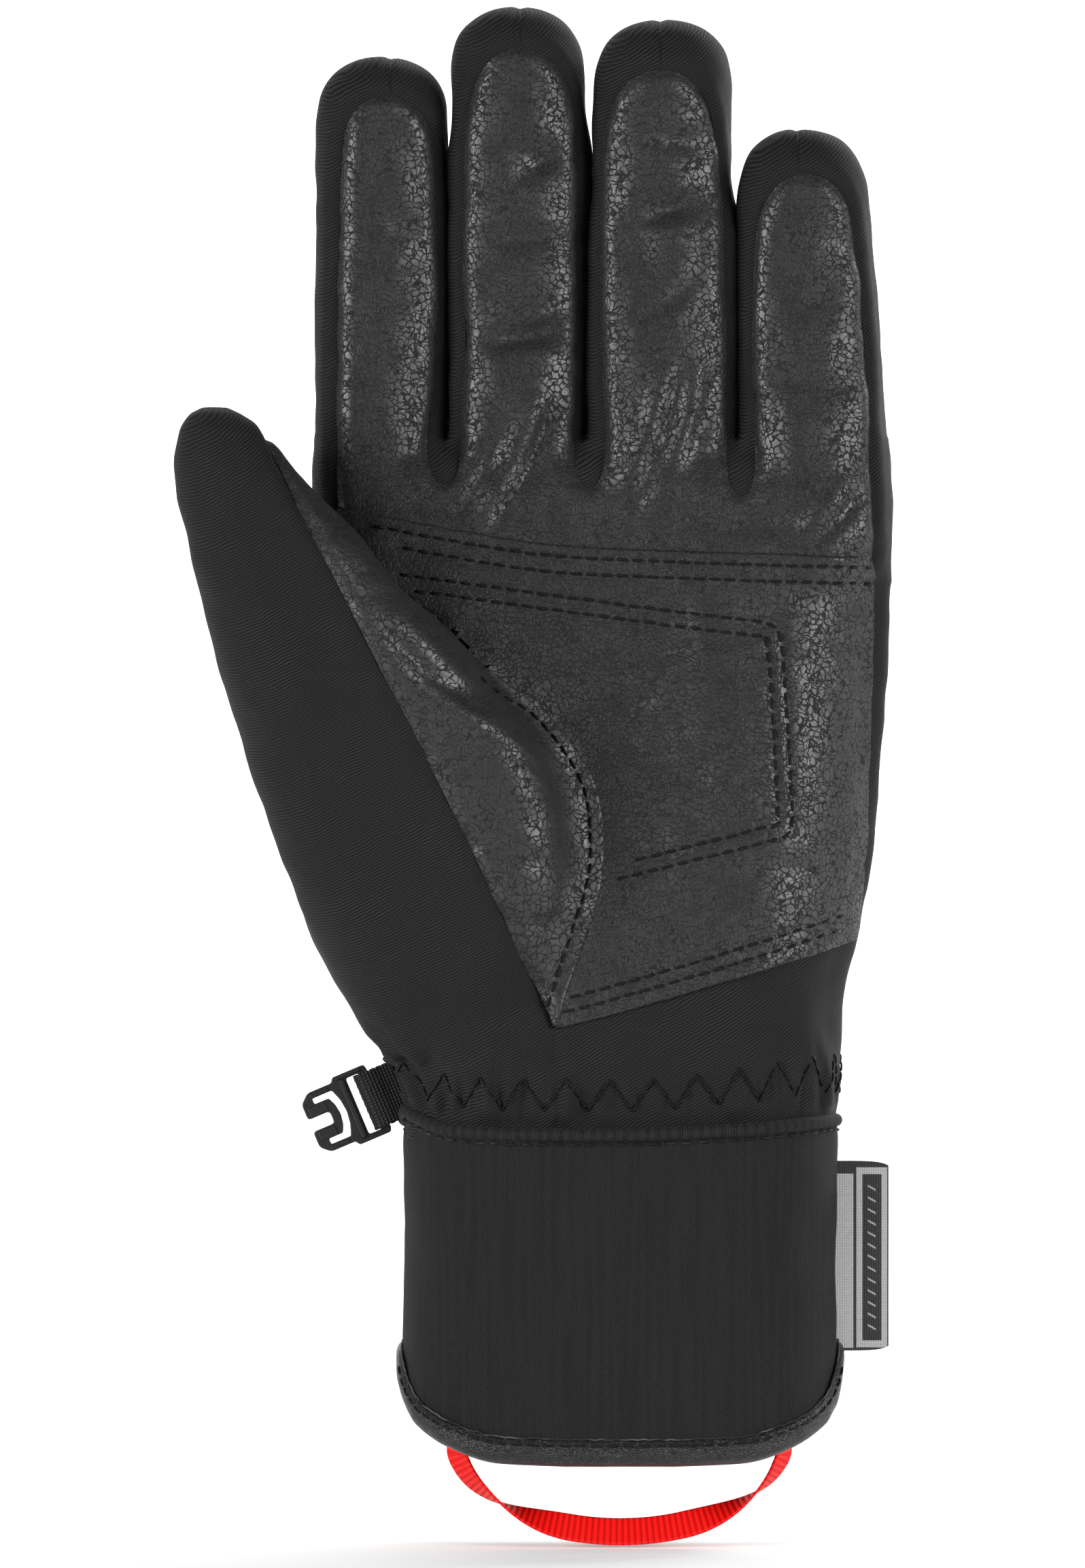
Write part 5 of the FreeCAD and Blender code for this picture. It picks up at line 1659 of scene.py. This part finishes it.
def red_ribbon(name):
    m = Nodes(name, 0.5, Specular_IOR_Level=0.15)
    x, y, _ = m.parts(m.place)
    ribs = m.ribs(x, RIB_PITCH)
    yarn = m.ribs(y, 0.38)
    grain = m.noise(m.scaled(m.place, (1, 4, 1)), 1.2, 3.0)
    bright = m.mix(grain, (0.88, 0.004, 0.003), (1.0, 0.012, 0.008))
    # The hollows between the grosgrain's ribs are painted a darker red: painted shade in the hollows.
    colour = m.mix(ribs, (0.5, 0.0, 0.0), bright)
    height = m.fused(yarn, 0.25, ribs)
    return m.finish(colour, m.fused(ribs, -0.1, 0.58), m.bump(height, 0.14))


def moulded_plastic(name):
    m = Nodes(name, 0.35)
    fine = m.noise(m.place, 6.0, 3.0)
    flow = m.noise(m.place, 0.35, 2.0)
    scuff = m.ramp(m.noise(m.scaled(m.place, (0.4, 3, 1)), 1.0, 3.0), (0.62, 0.0), (0.7, 1.0))
    colour = m.mix(flow, ink(0.010, 0.0105), ink(0.017, 0.018))
    colour = m.mix(m.times(scuff, 0.3), colour, (0.05, 0.05, 0.05))
    rough = m.fused(fine, 0.18, 0.27)
    return m.finish(colour, rough, m.bump(m.maths("ADD", fine, flow), 0.03, 0.6))


def label_cloth(name):
    """A woven label: a pale strip, a dark line, and a dark panel in a pale frame with a plain woven motif."""
    m = Nodes(name, 0.7)
    x, _, z = m.parts(m.place)

    def past(value, limit):
        """0 up to the limit and 1 soon after it."""
        rise = m.maths("DIVIDE", m.maths("SUBTRACT", value, limit), 0.08)
        return m.maths("SMOOTH_MIN", 1.0, m.maths("MAXIMUM", 0.0, rise), 0.1)

    def between(value, low, high):
        return m.maths("MULTIPLY", past(value, low), past(high, value), clamp=True)

    strip = m.times(between(x, -1.2, 2.35), between(z, 0.5, LABEL_TALL - 2.4))
    frame_out = m.times(between(x, 2.85, LABEL_WIDE - 0.25), between(z, 0.6, LABEL_TALL - 1.2))
    panel = m.times(between(x, 4.0, LABEL_WIDE - 1.3), between(z, 1.9, LABEL_TALL - 2.5))
    slash = m.maths("FRACT", m.maths("DIVIDE", m.fused(x, 0.55, z), 2.2))
    motif = m.times(between(slash, 0.36, 0.6), between(x, 5.0, LABEL_WIDE - 2.4))
    motif = m.times(motif, between(z, 3.6, LABEL_TALL - 4.2))
    dots = between(m.maths("FRACT", m.maths("DIVIDE", z, 1.6)), 0.3, 0.62)
    dots = m.times(dots, between(x, 0.6, 1.5))
    dots = m.times(dots, between(z, 3.2, LABEL_TALL - 4.5))
    warp = m.wave(x, 0.34)
    weft = m.wave(z, 0.3)
    weave = m.maths("MULTIPLY_ADD", m.maths("ADD", warp, weft), 0.25, 0.5, clamp=True)
    grey = m.mix(weave, (0.26, 0.26, 0.26), (0.58, 0.58, 0.58))
    dark = m.mix(weave, (0.010, 0.010, 0.010), (0.026, 0.026, 0.026))
    light = m.mix(weave, (0.28, 0.28, 0.28), (0.5, 0.5, 0.5))
    colour = m.mix(strip, dark, grey)
    colour = m.mix(dots, colour, light)
    colour = m.mix(frame_out, colour, grey)
    colour = m.mix(panel, colour, dark)
    colour = m.mix(motif, colour, light)
    fibre = m.noise(m.place, 3.0, 3.0)
    height = m.fused(m.maths("ADD", strip, motif), 0.3, m.maths("ADD", weave, fibre))
    return m.finish(colour, m.fused(fibre, 0.2, 0.5), m.bump(height, 0.08))


LEATHER = pebbled_leather("pebbled_leather")
GRIP = pebbled_leather("grip_leather", cell=1.2, deep=1.7, tone=1.0, contrast=0.7, squeeze=(0.85, 1, 1.15))
THUMB_SKIN = pebbled_leather("thumb_leather", cell=1.35, tone=1.35)
SMOOTH = smooth_leather("smooth_leather")
SHELL = softshell_cloth("softshell_twill")
KNIT = knitted("knit_neoprene")
WELT = knitted("knit_welt", pitch=0.5, slant=0.0, tone=1.05)
FLEECE = fleece("lining_fleece")
THREAD_DARK = thread("sewing_thread", (0.0015, 0.0015, 0.0015), (0.006, 0.006, 0.006))
THREAD_PALE = thread("cuff_thread", (0.002, 0.002, 0.002), (0.008, 0.008, 0.008), pale=0.12)
EDGE_PALE = thread("knit_edge", (0.01, 0.01, 0.01), (0.03, 0.03, 0.03), pale=0.5)
WEBBING = webbing_weave("webbing_weave")
RIBBON = red_ribbon("red_grosgrain")
PLASTIC = moulded_plastic("clip_plastic")
LABEL = label_cloth("woven_label")


def dress(obj, material, slot):
    """Gives a piece its material, and its slot if it has one."""
    obj.data.materials.clear()
    obj.data.materials.append(material)
    if slot:
        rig.slot(obj, slot)


# ------------------------------------------------------------------ which body each piece follows
def at(x, z):
    return (x * MM, 0.0, z * MM)


BEND_LEVEL = {name: JOINT[name + "_bend"]["pos_m"][2] / MM for name in FINGER_NAMES}
for name in FINGER_NAMES:
    x = FINGERS[name][0]
    for part, stuff, slot in (("softshell", SHELL, "softshell"), ("leather", LEATHER, "pebbled_leather")):
        base = panel_objects[f"{name}_base_{part}_panel"]
        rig.blend(base, "hand", f"{name}_base", at(x, 185.5), at(x, 205))
        tip = panel_objects[f"{name}_tip_{part}_panel"]
        middle = BEND_LEVEL[name]
        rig.blend(tip, f"{name}_base", f"{name}_tip", at(x, middle - 11), at(x, middle + 11))
        for obj in (base, tip):
            dress(obj, stuff, slot)
            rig.padded(obj, fill=0.7)
        layers = (part, "lining") if part == "softshell" else (part,)
        for obj, place in ((base, "base"), (tip, "tip")):
            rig.replaces(obj, *[f"{name}_{place}_{layer}" for layer in layers])
for key, stuff, slot, *nodes in (
        ("thumb_softshell_panel", SHELL, "softshell",
         "thumb_softshell_base", "thumb_tip_softshell", "thumb_tip_lining"),
        ("thumb_leather_panel", THUMB_SKIN, "pebbled_leather", "thumb_leather_base", "thumb_tip_leather")):
    obj = panel_objects[key]
    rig.blend(obj, "hand", "thumb_tip", at(-56.2, 154.5), at(-67.8, 175.5))
    dress(obj, stuff, slot)
    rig.padded(obj, fill=0.7)
    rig.replaces(obj, *nodes)
for key, stuff, slot, fill, *nodes in (
        ("back_softshell_panel", SHELL, "softshell", 0.6,
         "back_softshell", "wrist_softshell", "hand_membrane", "hand_insulation"),
        ("palm_leather_upper_panel", LEATHER, "pebbled_leather", 0.6, "palm_leather_upper"),
        ("palm_leather_lower_panel", LEATHER, "pebbled_leather", 0.6, "palm_leather_lower"),
        ("palm_grip_panel", GRIP, "grip_leather", 0.6, "palm_grip_patch"),
        ("cuff_neoprene_palm_panel", KNIT, "knit_neoprene", 0.5, "cuff_neoprene_palm"),
        ("cuff_neoprene_back_panel", KNIT, "knit_neoprene", 0.5, "cuff_neoprene_back"),
        ("cuff_lining_tube", FLEECE, "lining", None, "cuff_lining"),
        ("hand_lining_sac", FLEECE, "lining", None, "hand_lining"),
        ("hem_binding_roll", SMOOTH, "smooth_leather", None, "hem_binding"),
        ("cuff_seam_welt_roll", WELT, "knit_neoprene", None, "cuff_seam_welt")):
    obj = {**panel_objects, **cuff_objects}[key]
    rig.ride(obj, "hand")
    dress(obj, stuff, slot)
    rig.replaces(obj, *nodes)
    if fill:
        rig.padded(obj, fill=fill)
for obj in threads:
    dress(obj, THREAD_DARK, None)
dress(cuff_stitching, THREAD_PALE, None)
dress(zigzag_thread, THREAD_DARK, "elastic")
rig.replaces(zigzag_thread, "wrist_elastic")
dress(edge_line, EDGE_PALE, None)
for obj, stuff, slot, body, node in ((webbing, WEBBING, "webbing", "hand", "clip_webbing"),
                                     (clip, PLASTIC, "moulded_plastic", "clip_buckle", "clip_buckle"),
                                     (label, LABEL, "woven_label", "side_label", "side_label")):
    dress(obj, stuff, slot)
    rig.ride(obj, body)
    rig.replaces(obj, node)
dress(pull_loop, RIBBON, "red_ribbon")
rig.blend(pull_loop, "hand", "pull_loop", at(0, 8.0), at(0, 2.5))
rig.replaces(pull_loop, "pull_loop")

# ------------------------------------------------------------------ floor, backdrop and light
FLOOR = cad_box[0][2] - 0.0006
sweep = []
for y, z in ((-0.3, 0), (1.2, 0), (1.7, 0.06), (2.1, 0.25), (2.35, 0.6), (2.45, 1.1), (2.5, 3.0)):
    sweep += [(-4.0, y, FLOOR + z), (4.0, y, FLOOR + z)]
floor_mesh = bpy.data.meshes.new("floor")
floor_mesh.from_pydata(sweep, [], [(i, i + 1, i + 3, i + 2) for i in range(0, len(sweep) - 2, 2)])
floor_mesh.polygons.foreach_set("use_smooth", [True] * len(floor_mesh.polygons))
floor = bpy.data.objects.new("floor", floor_mesh)
scene.collection.objects.link(floor)
floor_mesh.materials.append(Nodes("studio_paper", 0.9, (0.92, 0.92, 0.92), Emission_Color=(1, 1, 1, 1),
                                  Emission_Strength=0.15).material)
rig.stage(floor)

world = bpy.data.worlds.new("studio")
scene.world = world
world.use_nodes = True
# the studio's walls look white, but they give little light back
surround = world.node_tree.nodes["Background"]
walls = world.node_tree.nodes.new("ShaderNodeBackground")
for background, strength in ((surround, 0.1), (walls, 1.0)):
    background.inputs["Color"].default_value = (1, 1, 1, 1)
    background.inputs["Strength"].default_value = strength
seen = world.node_tree.nodes.new("ShaderNodeLightPath")
either = world.node_tree.nodes.new("ShaderNodeMixShader")
for output, entry in ((seen.outputs["Is Camera Ray"], either.inputs[0]),
                      (surround.outputs[0], either.inputs[1]), (walls.outputs[0], either.inputs[2]),
                      (either.outputs[0], world.node_tree.nodes["World Output"].inputs["Surface"])):
    world.node_tree.links.new(output, entry)


def area_light(name, place, aim, size, power):
    light = bpy.data.lights.new(name, "AREA")
    light.shape, light.size, light.size_y, light.energy = "RECTANGLE", size[0], size[1], power
    obj = bpy.data.objects.new(name, light)
    obj.location = place
    obj.rotation_euler = (Vector(aim) - Vector(place)).to_track_quat("-Z", "Y").to_euler()
    scene.collection.objects.link(obj)


MIDDLE = (-0.01, 0.0, 0.13)
area_light("key_left", (-1.27, -0.98, 0.37), MIDDLE, (0.95, 0.76), 31)
area_light("key_right", (1.28, -0.93, 0.35), MIDDLE, (0.9, 0.72), 25)
area_light("top", (0.0, 1.7, 1.5), (0, 2.1, 0.2), (2.4, 1.0), 40)
area_light("back_key", (0.9, 0.9, 0.8), MIDDLE, (0.6, 0.6), 12)
scene.view_settings.view_transform = "Standard"

# ------------------------------------------------------------------ sizes, for comparison with the CAD model
visual_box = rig.bounds()
with open("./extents.json", "w") as out:
    json.dump({"cad": [list(map(float, c)) for c in cad_box],
               "visual": [list(map(float, c)) for c in visual_box]}, out)
